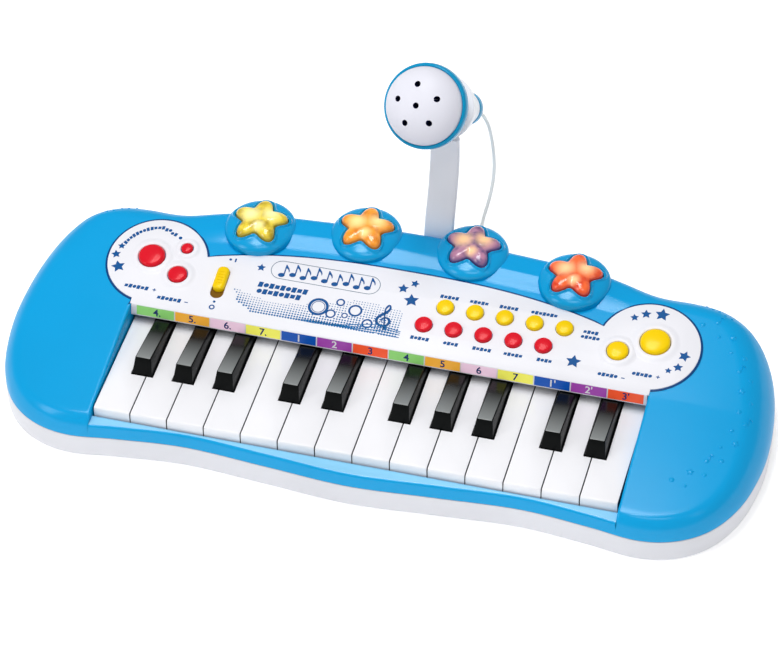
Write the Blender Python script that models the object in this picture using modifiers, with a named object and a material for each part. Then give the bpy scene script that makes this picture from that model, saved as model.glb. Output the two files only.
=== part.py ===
"""Toy electronic keyboard: a 14-white-key instrument with a lit back ridge and a microphone on a stem.

Frame: origin at the middle of the case's underside, +X along the keys towards the treble end,
+Y away from the player, +Z up. Driving dimensions are in millimetres, and meshes are made in metres.
"""

import math

import bmesh
import bpy
from mathutils import Matrix, Vector

MM = 0.001

# Case
HALF_OUTLINE = (
    (0, -82.9), (45, -79.9), (89, -77.0), (125, -80.0), (152, -83.2), (172, -78.8), (188, -66.8),
    (199, -47.3), (204.5, -23.3), (205.5, -1.3), (203, 24), (197, 44.7), (186, 61), (170, 70.5),
    (151, 73.2), (132, 72.5), (112, 75.5), (60, 80.2), (0, 83.2),
)
SPLINE_STEPS = 6
STRAIGHT_X = 150.0
SPINE_Y = -5.0
END_STEPS = 10
WALL = 2.4
PARTING = 14.4
SEAM = 0.3
FIT = 0.4
POST_RADIUS = 4.0
POST_TOP = 13.0
POSTS = ((-178, -52), (178, -52), (-160, 52), (160, 52), (-60, 62), (60, 62))

# Keys
KEY_TOP = 28.4
KEY_FRONT = -73.3
WHITE_COUNT = 14
PITCH = 20.0
KEY_GAP = 0.6
KEY_LENGTH = 96.0
KEY_DEPTH = 8.0
BLACK_START = 28.8
BLACK_BASE = 11.0
BLACK_TOP_SHARE = 0.77
BLACK_HEIGHT = 9.5
BLACK_CLEARANCE = 0.6
BLACK_BOUNDARIES = ((1, -2.4), (2, 0.0), (3, 2.3), (5, -1.8), (6, 1.6), (8, -2.4), (9, 0.0), (10, 2.3),
                    (12, -1.8), (13, 1.6))
PIVOT_FROM_FRONT = 92.0
PIVOT_BELOW_TOP = 4.0
ROD_RADIUS = 1.5
BORE_RADIUS = 1.85
WELL_HALF = 140.6
RAIL_DROP = 6.0
RAIL_GAP = 0.8

# Control panel: a plate tilted about its front edge
TILT = math.radians(11)
PANEL_FRONT = KEY_FRONT + 68.0
PANEL_FRONT_Z = KEY_TOP + 12.0
PANEL_THICK = 2.4
PANEL_HALF = 141.0
LOBE_X = 134.6
LOBE_V = 29.75
LOBE_RADIUS = 27.0
NOTCH_X = 109.4
BACK_V = 50.4
BACK_DROP = 12.9
BACK_POWER = 2.6
LIP_DROP = 7.0
LIP_LEAN = 1.5

# Buttons on the panel: name, x, distance up the panel, radius, dome height
VOICE_X, VOICE_V, VOICE_PITCH = 24.4, 31.6, 16.15
RHYTHM_X, RHYTHM_V, RHYTHM_PITCH = 15.9, 18.5, 16.18
ROW_RADIUS = 4.7
BIG_BUTTONS = (
    ("volume_up_button", -138.2, 31.6, 7.2, 3.0),
    ("volume_down_button", -121.1, 22.6, 5.2, 2.4),
    ("sound_button", -120.9, 40.2, 3.2, 2.0),
    ("tempo_down_button", 119.3, 23.2, 5.7, 2.4),
    ("tempo_up_button", 137.3, 32.7, 8.0, 3.0),
)
BUTTON_DEPTH = 5.5
FLANGE = 1.4
BUTTON_SIDES = 16
SWITCH_X, KNOB_V, SLOT_V = -97.3, 24.6, 22.45
SWITCH_SIZE = (6.6, 15.2)
SLOT_SIZE = (7.4, 20.5)
SWITCH_HEIGHT = 2.6

# Lamp pods on the ridge, with a star lens in each
PODS = ((-86.4, 56.2, 52.4), (-29.4, 64.2, 52.9), (29.4, 64.2, 52.9), (86.4, 56.2, 52.4))
POD_RADIUS = 18.7
POD_RISE = 9.7
POD_DROP = 16.0
POD_SKIN = 2.2
POD_TILT = math.radians(8)
STAR_TIP = 16.0
STAR_WAIST = 9.4
STAR_PROUD = 1.4

# Microphone: head centre, axis towards the face, and lengths along it
MIC_HEAD = Vector((0.8, 78.4, 137.8))
MIC_AXIS = Vector((-0.1182, -0.7637, 0.6347)).normalized()
HEAD_RADIUS = 22.7
BODY_START, BODY_END = -3.7, -65.5
MIC_TAIL = -73.5
TAIL_RADIUS = 9.1
HOLE_TURN = math.radians(13.8)
ARM_X = 7.6
ARM_WIDTH = 16.0
ARM_THICK = 4.0
ARM_PATH = ((76.7, 34), (76.7, 41), (77.3, 50), (80.5, 60), (84.5, 69), (88, 79), (90.6, 89), (91.6, 98), (91, 107))

# Microphone lead: the points of its route, from the tail of the microphone to the case's gland
CORD_RADIUS = 1.0
CORD_ROUTE = ((9.6, 134.9, 90.8), (11, 140.8, 86), (14.2, 144.2, 80.6), (17, 145.4, 74.6), (18.9, 145.4, 68.4),
              (20.5, 144.4, 61), (22, 142.4, 53.3), (23, 139.2, 47), (23.5, 134.8, 41.8), (23.6, 129, 37.6),
              (23.5, 122, 34.4), (23.5, 114, 33.2), (24.1, 106, 32.8), (24.9, 98, 32.5), (25, 92.3, 32.4))
CORD_STEPS = 4
GLAND_Y = (75.0, 92.0)
GLAND_RADIUS = 3.0

# Pieces inside the case
SPEAKER_PLACE = (-172.0, -13.3)
SPEAKER_RADIUS = 22.0
BATTERY_BOX = (66.0, 48.0, 17.0)
BATTERY_Y = 48.0

SCENE = bpy.context.scene


def clear_scene():
    for obj in list(bpy.data.objects):
        bpy.data.objects.remove(obj, do_unlink=True)


def new_collection(name, hidden=False):
    collection = bpy.data.collections.new(name)
    SCENE.collection.children.link(collection)
    collection.hide_render = hidden
    return collection


clear_scene()
PARTS = new_collection("toy_electronic_keyboard")
CUTTERS = new_collection("cutters", hidden=True)


def material(name, colour, roughness=0.4, metallic=0.0):
    made = bpy.data.materials.get(name)
    if made is None:
        made = bpy.data.materials.new(name)
        made.use_nodes = True
        made.diffuse_color = (*colour, 1)
        shader = made.node_tree.nodes["Principled BSDF"]
        shader.inputs["Base Color"].default_value = (*colour, 1)
        shader.inputs["Roughness"].default_value = roughness
        shader.inputs["Metallic"].default_value = metallic
    return made


def blue_shell():
    return material("blue_shell", (0.0, 0.38, 0.80), 0.3)


def white_plastic():
    return material("white_plastic", (0.86, 0.86, 0.90), 0.35)


def ivory_key():
    return material("white_key", (0.90, 0.90, 0.94), 0.3)


def black_key():
    return material("black_key", (0.006, 0.007, 0.007), 0.25)


def red_plastic():
    return material("red_plastic", (0.75, 0.02, 0.04), 0.3)


def yellow_plastic():
    return material("yellow_plastic", (0.95, 0.68, 0.01), 0.3)


def steel():
    return material("steel", (0.55, 0.55, 0.56), 0.3, 1.0)


def rubber():
    return material("grey_rubber", (0.12, 0.12, 0.13), 0.8)


def board_green():
    return material("circuit_board", (0.02, 0.22, 0.08), 0.5)


def smooth(low, high, value):
    t = min(max((value - low) / (high - low), 0.0), 1.0)
    return t * t * (3 - 2 * t)


def spline_through(points, steps, closed=False):
    """Points along a smooth curve that passes through each given point."""
    count = len(points)
    vectors = [Vector(p) for p in points]
    spans = count if closed else count - 1
    made = []
    for i in range(spans):
        if closed:
            before, start, end, after = (vectors[(i + k) % count] for k in (-1, 0, 1, 2))
        else:
            before, start = vectors[max(i - 1, 0)], vectors[i]
            end, after = vectors[i + 1], vectors[min(i + 2, count - 1)]
        for step in range(steps):
            t = step / steps
            made.append(0.5 * (2 * start + (end - before) * t
                               + (2 * before - 5 * start + 4 * end - after) * t ** 2
                               + (3 * start - before - 3 * end + after) * t ** 3))
    if not closed:
        made.append(vectors[-1])
    return made


def case_outline():
    """The case's closed outline at its widest, counter-clockwise from the middle of the front."""
    mirrored = [(-x, y) for x, y in HALF_OUTLINE[-2:0:-1]]
    return [tuple(p) for p in spline_through(HALF_OUTLINE + tuple(mirrored), SPLINE_STEPS, closed=True)]


OUTLINE = case_outline()


def outline_y(x, back):
    """Where the outline's front or back run crosses this x."""
    for (x0, y0), (x1, y1) in zip(OUTLINE, OUTLINE[1:] + OUTLINE[:1]):
        if (y0 > 0) == back and min(x0, x1) <= x <= max(x0, x1) and x0 != x1:
            return y0 + (y1 - y0) * (x - x0) / (x1 - x0)
    raise ValueError("the outline doesn't cross this x")


def outline_distance(x, y):
    """How far inside the outline a point lies."""
    nearest = math.inf
    for (x0, y0), (x1, y1) in zip(OUTLINE, OUTLINE[1:] + OUTLINE[:1]):
        run, rise = x1 - x0, y1 - y0
        along = ((x - x0) * run + (y - y0) * rise) / (run * run + rise * rise)
        along = min(max(along, 0.0), 1.0)
        nearest = min(nearest, math.hypot(x - x0 - along * run, y - y0 - along * rise))
    return nearest


def case_stations():
    """Matching points on the outline and on the spine along the case's middle."""
    inner = [-STRAIGHT_X, -WELL_HALF - WALL - 0.6, -WELL_HALF - WALL, -WELL_HALF - 0.3, -WELL_HALF + 0.3,
             -115, -89, -60, -30, 0]
    xs = inner + [-x for x in inner[-2::-1]]
    front = [((x, outline_y(x, False)), (x, SPINE_Y)) for x in xs]
    back = [((x, outline_y(x, True)), (x, SPINE_Y)) for x in reversed(xs)]
    ends = []
    for side in (1, -1):
        first = (side * STRAIGHT_X, outline_y(STRAIGHT_X, side < 0))
        start = min(range(len(OUTLINE)), key=lambda i: math.dist(OUTLINE[i], first))
        last = (side * STRAIGHT_X, outline_y(STRAIGHT_X, side > 0))
        stop = min(range(len(OUTLINE)), key=lambda i: math.dist(OUTLINE[i], last))
        run = [OUTLINE[(start + k) % len(OUTLINE)] for k in range((stop - start) % len(OUTLINE) + 1)]
        picked = [run[round(k * (len(run) - 1) / END_STEPS)] for k in range(1, END_STEPS)]
        ends.append([(p, (side * STRAIGHT_X, SPINE_Y)) for p in picked])
    return front + ends[0] + back + ends[1]


def panel_z(y):
    """Height of the control panel's face above this y."""
    return PANEL_FRONT_Z + math.tan(TILT) * (y - PANEL_FRONT)


def crown_z(x, y):
    """Height of the top case's surface before its edge rolls off."""
    front = KEY_TOP - 0.5
    inset = 0.9
    if y < PANEL_FRONT:
        height = front + (y - KEY_FRONT) * (PANEL_FRONT_Z - inset - front) / (PANEL_FRONT - KEY_FRONT)
    else:
        height = panel_z(y) - inset
    height = min(height, PANEL_FRONT_Z + 9.9)
    crest = 65.7 - 0.0006 * x * x
    climb = min(max((y - crest + 17) / 14, 0.0), 1.0)
    height += 4.2 * (1 - smooth(90, 125, abs(x))) * (0.75 * climb + 0.25 * smooth(0, 1, climb))
    height -= 0.0009 * max(abs(x) - STRAIGHT_X, 0) ** 2
    if abs(x) < WELL_HALF and y < -30:
        height = KEY_TOP - RAIL_DROP
    return height


def roll_radius(x, y):
    """Width of the band where the surface rolls down to the parting line, widest at the two rear corners."""
    return 7 + 9 * smooth(-73, 7, y) + 7 * smooth(100, 150, abs(x)) * smooth(-10, 45, y)


def case_surface_z(x, y, inset=0.0):
    """Height of the top case's outer surface, or of its inner one for an inset of the wall's thickness."""
    bottom = PARTING + SEAM / 2
    crown = crown_z(x, y) - inset
    if inset and abs(x) < WELL_HALF + WALL + 0.3 and y < PANEL_FRONT + 3:
        return bottom + 1.0
    share = min(max(outline_distance(x, y) - inset, 0.0) / (roll_radius(x, y) - inset), 1.0)
    return bottom + (crown - bottom) * math.sqrt(max(1 - (1 - share) ** 2, 0))


def add_mesh(name, made, finish, collection=PARTS):
    """An object in millimetres' data turned to metres."""
    bmesh.ops.recalc_face_normals(made, faces=made.faces)
    bmesh.ops.scale(made, vec=(MM, MM, MM), verts=made.verts)
    data = bpy.data.meshes.new(name)
    made.to_mesh(data)
    made.free()
    data.materials.append(finish)
    obj = bpy.data.objects.new(name, data)
    collection.objects.link(obj)
    if collection is CUTTERS:
        obj.hide_render = True
        obj.display_type = "WIRE"
    return obj


def smooth_shading(obj, degrees=35):
    obj.data.shade_smooth()
    obj.data.set_sharp_from_angle(angle=math.radians(degrees))


def place(obj, frame):
    """Puts an object made about its own axes where a frame, in millimetres, says."""
    location = frame.to_translation() * MM
    obj.matrix_world = Matrix.Translation(location) @ frame.to_3x3().to_4x4()


def box(name, low, high, finish, collection=PARTS):
    made = bmesh.new()
    bmesh.ops.create_cube(made, size=1)
    for vert in made.verts:
        vert.co = Vector(low[k] if vert.co[k] < 0 else high[k] for k in range(3))
    return add_mesh(name, made, finish, collection)


def prism(name, outline, low, high, finish, collection=PARTS):
    """A flat outline, raised from one height to another."""
    made = bmesh.new()
    face = made.faces.new([made.verts.new((x, y, low)) for x, y in outline])
    raised = bmesh.ops.extrude_face_region(made, geom=[face])["geom"]
    tops = [item for item in raised if isinstance(item, bmesh.types.BMVert)]
    bmesh.ops.translate(made, vec=(0, 0, high - low), verts=tops)
    return add_mesh(name, made, finish, collection)


def turned(name, profile, finish, sides=24, collection=PARTS):
    """A profile of (radius, height) points, top to bottom on its outer side, turned about Z."""
    data = bpy.data.meshes.new(name)
    points = [(r * MM, 0, z * MM) for r, z in profile]
    data.from_pydata(points, [(i, i + 1) for i in range(len(points) - 1)], [])
    data.materials.append(finish)
    obj = bpy.data.objects.new(name, data)
    collection.objects.link(obj)
    screw = obj.modifiers.new("turn", "SCREW")
    screw.steps = screw.render_steps = sides
    screw.use_merge_vertices = True
    screw.merge_threshold = 0.00001
    if collection is CUTTERS:
        obj.hide_render = True
        obj.display_type = "WIRE"
    return obj


def cylinder_between(name, start, end, radius, finish, sides=16, collection=PARTS):
    start, end = Vector(start), Vector(end)
    made = bmesh.new()
    bmesh.ops.create_cone(made, cap_ends=True, segments=sides, radius1=radius, radius2=radius,
                          depth=(end - start).length)
    turn = (end - start).to_track_quat("Z", "Y").to_matrix().to_4x4()
    bmesh.ops.transform(made, matrix=Matrix.Translation((start + end) / 2) @ turn, verts=made.verts)
    return add_mesh(name, made, finish, collection)


def boolean(obj, other, operation):
    modifier = obj.modifiers.new(operation.lower() + "_" + other.name, "BOOLEAN")
    modifier.operation = operation
    modifier.object = other
    modifier.solver = "EXACT"
    return modifier


def cut(obj, cutter):
    boolean(obj, cutter, "DIFFERENCE")


def join(obj, other):
    """Adds a helper's shape to an object; the helper stays with the cutters."""
    boolean(obj, other, "UNION")


def panel_outline(grow=0.0):
    """The panel's outline in its own plane: a straight front, two round lobes and a bowed back."""
    radius = LOBE_RADIUS + grow
    low = -math.asin((LOBE_V + grow) / radius) if LOBE_V + grow < radius else -math.pi / 2 + 0.24
    points = [(PANEL_HALF + grow, -grow)]
    notch_v = BACK_V - BACK_DROP + grow
    high = math.pi - math.asin((notch_v - LOBE_V) / radius)
    steps = 16
    for i in range(steps + 1):
        angle = low + (high - low) * i / steps
        points.append((LOBE_X + radius * math.cos(angle), LOBE_V + radius * math.sin(angle)))
    for x in (90, 70, 48, 24, 0):
        points.append((x, BACK_V + grow - BACK_DROP * (x / NOTCH_X) ** BACK_POWER))
    left = [(-x, v) for x, v in points[-2::-1]]
    return points + left


def panel_frame(x=0.0, v=0.0, w=0.0):
    """A frame on the panel's face: X along it, Y up its slope, Z out of it."""
    base = Matrix.Translation((0, PANEL_FRONT, PANEL_FRONT_Z)) @ Matrix.Rotation(TILT, 4, "X")
    return base @ Matrix.Translation((x, v, w))


def all_buttons():
    buttons = [(name, x, v, r, dome, red_plastic() if x < 0 else yellow_plastic())
               for name, x, v, r, dome in BIG_BUTTONS]
    for i in range(5):
        buttons.append((f"voice_button_{i + 1}", VOICE_X + i * VOICE_PITCH, VOICE_V, ROW_RADIUS, 2.2,
                        yellow_plastic()))
        buttons.append((f"rhythm_button_{i + 1}", RHYTHM_X + i * RHYTHM_PITCH, RHYTHM_V, ROW_RADIUS, 2.2,
                        red_plastic()))
    return buttons


def ellipsoid(name, centre, radius, rise, drop, finish, collection=CUTTERS):
    made = bmesh.new()
    bmesh.ops.create_uvsphere(made, u_segments=20, v_segments=10, radius=1)
    for vert in made.verts:
        vert.co = Vector((vert.co.x * radius, vert.co.y * radius,
                          vert.co.z * (rise if vert.co.z > 0 else drop)))
    obj = add_mesh(name, made, finish, collection)
    place(obj, Matrix.Translation(centre) @ Matrix.Rotation(POD_TILT, 4, "X"))
    return obj


def star_outline(grow=0.0):
    """Five rounded arms, with one pointing away from the player."""
    points = []
    steps = 30
    for i in range(steps):
        angle = math.pi / 2 + 2 * math.pi * i / steps
        share = 0.5 + 0.5 * math.cos(5 * (angle - math.pi / 2))
        radius = STAR_WAIST + (STAR_TIP - STAR_WAIST) * share ** 0.8 + grow
        points.append((radius * math.cos(angle), radius * math.sin(angle)))
    return points


def surface_columns(inset):
    """Points down each station, from the outline in to the spine, on the case's outer or inner surface."""
    columns = []
    edge = [1 - math.cos(math.radians(a)) for a in (0, 20, 42, 66, 90)]
    for (px, py), (qx, qy) in case_stations():
        reach = math.dist((px, py), (qx, qy))
        roll = roll_radius(px, py)
        depths = [inset + (roll - inset) * e for e in edge]
        depths += [roll + (reach - roll) * share for share in (0.14, 0.3, 0.5, 0.72, 1.0)]
        column = []
        for k, d in enumerate(depths):
            x, y = px + (qx - px) * d / reach, py + (qy - py) * d / reach
            z = case_surface_z(x, y, inset) if k else PARTING + SEAM / 2
            column.append((x, y, z))
        columns.append(column)
    return columns


def make_top_case():
    made = bmesh.new()
    surfaces = []
    for inset in (0.0, WALL):
        columns = [[made.verts.new(p) for p in column] for column in surface_columns(inset)]
        for left, right in zip(columns, columns[1:] + columns[:1]):
            for a, b, c, d in zip(left, right, right[1:], left[1:]):
                made.faces.new((a, b, c, d))
        surfaces.append(columns)
    outer, inner = surfaces
    for i in range(len(outer)):
        nxt = (i + 1) % len(outer)
        made.faces.new((outer[i][0], outer[nxt][0], inner[nxt][0], inner[i][0]))
    bmesh.ops.remove_doubles(made, verts=made.verts, dist=0.01)
    case = add_mesh("top_case", made, blue_shell())
    for i, (x, y, z) in enumerate(PODS):
        join(case, ellipsoid(f"pod_{i + 1}", (x, y, z), POD_RADIUS, POD_RISE, POD_DROP, blue_shell()))
    for i, (x, y, z) in enumerate(PODS):
        hollow = ellipsoid(f"pod_hollow_{i + 1}", (x, y, z), POD_RADIUS - POD_SKIN, POD_RISE - POD_SKIN,
                           POD_DROP - POD_SKIN, blue_shell())
        cut(case, hollow)
        pocket = prism(f"star_pocket_{i + 1}", star_outline(FIT), 0.7, 20, blue_shell(), CUTTERS)
        place(pocket, Matrix.Translation((x, y, z)) @ Matrix.Rotation(POD_TILT, 4, "X"))
        cut(case, pocket)
    well = box("key_well", (-WELL_HALF, KEY_FRONT - RAIL_GAP, PARTING - 5),
               (WELL_HALF, PANEL_FRONT + 6, 80), blue_shell(), CUTTERS)
    cut(case, well)
    opening = prism("panel_opening", panel_outline(FIT), -30, 30, blue_shell(), CUTTERS)
    place(opening, panel_frame())
    cut(case, opening)
    slot = box("stem_slot", (ARM_X - ARM_WIDTH / 2 - FIT, ARM_PATH[0][0] - ARM_THICK / 2 - FIT, 32),
               (ARM_X + ARM_WIDTH / 2 + FIT, ARM_PATH[0][0] + ARM_THICK / 2 + FIT + 0.6, 80),
               blue_shell(), CUTTERS)
    cut(case, slot)
    end = Vector(CORD_ROUTE[-1])
    hole = cylinder_between("gland_hole", (end.x, GLAND_Y[0] - 1, end.z), (end.x, GLAND_Y[1], end.z),
                            GLAND_RADIUS + FIT, blue_shell(), 12, CUTTERS)
    cut(case, hole)
    smooth_shading(case)


def make_bottom_case():
    count = len(OUTLINE)
    thinned = [OUTLINE[i] for i in range(0, count, 2)]
    case = prism("bottom_case", thinned, 0, PARTING - SEAM / 2, white_plastic())
    inner = []
    for i, (x, y) in enumerate(thinned):
        before, after = Vector(thinned[i - 1]), Vector(thinned[(i + 1) % len(thinned)])
        normal = Vector((before.y - after.y, after.x - before.x)).normalized()
        inner.append((x + normal.x * WALL, y + normal.y * WALL))
    cut(case, prism("bottom_hollow", inner, WALL, PARTING + 5, white_plastic(), CUTTERS))
    for i, (x, y) in enumerate(POSTS):
        join(case, cylinder_between(f"post_{i + 1}", (x, y, WALL / 2), (x, y, POST_TOP), POST_RADIUS,
                                    white_plastic(), 10, CUTTERS))
    _, pivot_y, pivot_z = pivot_point()
    for side in (-1, 1):
        join(case, box(f"rod_rest_{'left' if side < 0 else 'right'}",
                       (side * (WELL_HALF + 4) - 2, pivot_y - 3, WALL / 2),
                       (side * (WELL_HALF + 4) + 2, pivot_y + 3, pivot_z - ROD_RADIUS - SEAM),
                       white_plastic(), CUTTERS))
    half_x, half_y = BATTERY_BOX[0] / 2 - 3, BATTERY_BOX[1] / 2 - 3
    cut(case, box("battery_opening", (-half_x, BATTERY_Y - half_y, -1),
                  (half_x, BATTERY_Y + half_y, WALL + 1), white_plastic(), CUTTERS))


def make_battery_parts():
    half_x, half_y, height = BATTERY_BOX[0] / 2, BATTERY_BOX[1] / 2, BATTERY_BOX[2]
    floor = WALL + SEAM
    holder = box("battery_box", (-half_x, BATTERY_Y - half_y, floor),
                 (half_x, BATTERY_Y + half_y, floor + height), white_plastic())
    cut(holder, box("battery_hollow", (-half_x + 2, BATTERY_Y - half_y + 2, floor - 1),
                    (half_x - 2, BATTERY_Y + half_y - 2, floor + height - 2), white_plastic(), CUTTERS))
    opening_x, opening_y = half_x - 3 - SEAM, half_y - 3 - SEAM
    box("battery_door", (-opening_x, BATTERY_Y - opening_y, 0.4), (opening_x, BATTERY_Y + opening_y, 2.4),
        white_plastic())


def make_control_panel():
    panel = prism("control_panel", panel_outline(), -PANEL_THICK, 0, white_plastic())
    place(panel, panel_frame())
    lip = bmesh.new()
    half = WELL_HALF - FIT
    side = ((0.0, 0.0), (-LIP_LEAN, -LIP_DROP), (-LIP_LEAN + 2.2, -LIP_DROP), (2.4, 0.2))
    face = lip.faces.new([lip.verts.new((-half, PANEL_FRONT + y, PANEL_FRONT_Z + z)) for y, z in side])
    raised = bmesh.ops.extrude_face_region(lip, geom=[face])["geom"]
    bmesh.ops.translate(lip, vec=(2 * half, 0, 0),
                        verts=[item for item in raised if isinstance(item, bmesh.types.BMVert)])
    label_lip = add_mesh("label_lip", lip, white_plastic(), CUTTERS)
    label_lip.data.transform(panel.matrix_world.inverted())
    label_lip.matrix_world = panel.matrix_world
    join(panel, label_lip)
    for name, x, v, radius, _, _ in all_buttons():
        hole = cylinder_between("hole_" + name, (x, v, -10), (x, v, 10), radius + FIT, white_plastic(),
                                BUTTON_SIDES, CUTTERS)
        place(hole, panel_frame())
        cut(panel, hole)
    half_x, half_v = SLOT_SIZE[0] / 2, SLOT_SIZE[1] / 2
    slot = box("switch_slot", (SWITCH_X - half_x, SLOT_V - half_v, -10),
               (SWITCH_X + half_x, SLOT_V + half_v, 10), white_plastic(), CUTTERS)
    place(slot, panel_frame())
    cut(panel, slot)


def make_buttons():
    for name, x, v, radius, dome, finish in all_buttons():
        shoulder = dome * 0.35
        profile = [(0, dome), (radius * 0.55, dome * 0.86), (radius * 0.86, dome * 0.6), (radius, shoulder),
                   (radius, -PANEL_THICK - 0.5), (radius + FLANGE, -PANEL_THICK - 0.5),
                   (radius + FLANGE, -PANEL_THICK - 1.5), (radius * 0.6, -PANEL_THICK - 1.5),
                   (radius * 0.6, -BUTTON_DEPTH), (0, -BUTTON_DEPTH)]
        button = turned(name, profile, finish, BUTTON_SIDES)
        place(button, panel_frame(x, v))
        smooth_shading(button)


def make_switch():
    half_x, half_v = SWITCH_SIZE[0] / 2, SWITCH_SIZE[1] / 2
    knob = box("power_switch", (-half_x, -half_v, -PANEL_THICK - 3), (half_x, half_v, SWITCH_HEIGHT),
               yellow_plastic())
    edge = knob.modifiers.new("edge", "BEVEL")
    edge.width = 1.6 * MM
    edge.segments = 2
    place(knob, panel_frame(SWITCH_X, KNOB_V))


def key_x(boundary):
    return (boundary - WHITE_COUNT / 2) * PITCH


def black_centres():
    return [key_x(boundary) + offset for boundary, offset in BLACK_BOUNDARIES]


def pivot_point():
    return (0.0, KEY_FRONT + PIVOT_FROM_FRONT, KEY_TOP - PIVOT_BELOW_TOP)


def set_origin(obj, point):
    """Moves an object's origin to a point in millimetres, without moving its shape."""
    point = Vector(point) * MM
    obj.data.transform(Matrix.Translation(-point))
    obj.location = point


def pivot_cutter():
    _, y, z = pivot_point()
    half = WELL_HALF + 1
    return cylinder_between("pivot_bore", (-half, y, z), (half, y, z), BORE_RADIUS, steel(), 10, CUTTERS)


def make_white_keys(bore):
    half_black = BLACK_BASE / 2 + BLACK_CLEARANCE
    for index in range(WHITE_COUNT):
        left, right = key_x(index) + KEY_GAP / 2, key_x(index + 1) - KEY_GAP / 2
        rear_left, rear_right = left, right
        for centre in black_centres():
            if centre - half_black < left < centre + half_black:
                rear_left = centre + half_black
            if centre - half_black < right < centre + half_black:
                rear_right = centre - half_black
        step = KEY_FRONT + BLACK_START - BLACK_CLEARANCE
        rear = KEY_FRONT + KEY_LENGTH
        outline = [(left, KEY_FRONT), (right, KEY_FRONT), (right, step), (rear_right, step),
                   (rear_right, rear), (rear_left, rear), (rear_left, step), (left, step)]
        outline = [p for i, p in enumerate(outline) if p != outline[i - 1]]
        outline = [p for i, p in enumerate(outline)
                   if not (p[1] == step and p[0] == outline[i - 1][0] == outline[(i + 1) % len(outline)][0])]
        key = prism(f"white_key_{index + 1:02d}", outline, KEY_TOP - KEY_DEPTH, KEY_TOP, ivory_key())
        set_origin(key, pivot_point())
        cut(key, bore)


def make_black_keys(bore):
    side = ((BLACK_START, -KEY_DEPTH), (BLACK_START, 1.0), (32.2, BLACK_HEIGHT), (66.0, 4.6), (72.0, 0.0),
            (KEY_LENGTH, 0.0), (KEY_LENGTH, -KEY_DEPTH))
    for index, centre in enumerate(black_centres()):
        made = bmesh.new()
        face = made.faces.new([made.verts.new((-BLACK_BASE / 2, y, z)) for y, z in side])
        raised = bmesh.ops.extrude_face_region(made, geom=[face])["geom"]
        bmesh.ops.translate(made, vec=(BLACK_BASE, 0, 0),
                            verts=[item for item in raised if isinstance(item, bmesh.types.BMVert)])
        for vert in made.verts:
            if vert.co.z > 1.5:
                vert.co.x *= BLACK_TOP_SHARE
            vert.co += Vector((centre, KEY_FRONT, KEY_TOP))
        key = add_mesh(f"black_key_{index + 1:02d}", made, black_key())
        set_origin(key, pivot_point())
        cut(key, bore)


def make_key_bed():
    _, y, z = pivot_point()
    half = WELL_HALF + 6
    cylinder_between("key_pivot_rod", (-half, y, z), (half, y, z), ROD_RADIUS, steel(), 10)
    strip_top = KEY_TOP - KEY_DEPTH - 3
    box("key_contact_strip", (-WELL_HALF + 1, KEY_FRONT + 50, strip_top - 3),
        (WELL_HALF - 1, KEY_FRONT + 72, strip_top), rubber())
    board = box("main_circuit_board", (-128, 9, -11.2), (128, 41, -9.6), board_green())
    place(board, panel_frame())


def make_star_lenses():
    for index, centre in enumerate(PODS):
        lens = prism(f"star_lens_{index + 1}", star_outline(), 2.5, 20,
                     material(f"lens_{index + 1}", ((0.85, 0.80, 0.1), (0.95, 0.45, 0.02),
                                                    (0.45, 0.2, 0.45), (0.90, 0.15, 0.02))[index], 0.15))
        place(lens, Matrix.Translation(centre) @ Matrix.Rotation(POD_TILT, 4, "X"))
        dome = ellipsoid(f"lens_dome_{index + 1}", centre, POD_RADIUS + STAR_PROUD, POD_RISE + STAR_PROUD,
                         POD_DROP, blue_shell())
        boolean(lens, dome, "INTERSECT")


def mic_frame():
    """The microphone's frame: origin at the head's centre, Z towards its face."""
    turn = MIC_AXIS.to_track_quat("Z", "Y").to_matrix().to_4x4()
    return Matrix.Translation(MIC_HEAD) @ turn


def body_radius(z):
    """Outer radius of the microphone's tapered body at a height on its axis."""
    share = (BODY_START - z) / (BODY_START - BODY_END)
    return 20.6 + (TAIL_RADIUS - 20.6) * min(max(share, 0), 1) ** 0.75


def make_microphone():
    frame = mic_frame()
    heights = [BODY_START, -9, -15, -22, -30, -40, -52, BODY_END]
    outer = [(body_radius(z), z) for z in heights]
    inner = [(body_radius(z) - 1.8, z) for z in reversed(heights[:-1])]
    body = turned("microphone_body", outer + [(0, heights[-1]), (0, heights[-1] + 2)]
                  + [(TAIL_RADIUS - 1.8, heights[-1] + 2)] + inner + [outer[0]], white_plastic(), 20)
    ring = turned("microphone_ring", [(20.9, 3.2), (22.1, 2.8), (HEAD_RADIUS, 1.2), (HEAD_RADIUS, -2.0), (22.1, -3.1),
                                      (20.9, -3.4), (20.9, 3.2)], blue_shell(), 24)
    face = [(0, 17.0), (8, 15.8), (14.5, 12.9), (18.6, 9.0), (20.2, 5.6), (20.6, 2.8), (20.6, -3.2), (18.6, -3.2),
            (18.4, 3.0), (16.5, 7.6), (12.5, 11.2), (7.0, 13.6), (0, 14.9)]
    grille = turned("microphone_grille", face, white_plastic(), 20)
    for i in range(6):
        angle = math.pi / 2 + HOLE_TURN + math.tau * i / 5
        reach = 11.2 if i < 5 else 0
        hole = cylinder_between(f"grille_hole_{i + 1}",
                                (reach * math.cos(angle), reach * math.sin(angle), -1),
                                (reach * math.cos(angle), reach * math.sin(angle), 20), 1.7,
                                white_plastic(), 8, CUTTERS)
        place(hole, frame)
        cut(grille, hole)
    tail = BODY_END - 0.3
    cap = turned("microphone_end_cap", [(0, tail), (TAIL_RADIUS, tail), (TAIL_RADIUS + 0.2, tail - 0.8),
                                        (TAIL_RADIUS + 0.2, -70.5), (TAIL_RADIUS - 0.7, -72.6),
                                        (TAIL_RADIUS - 2.7, MIC_TAIL), (0, MIC_TAIL)], blue_shell(), 20)
    for piece in (body, ring, grille, cap):
        place(piece, frame)
        smooth_shading(piece)


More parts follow.
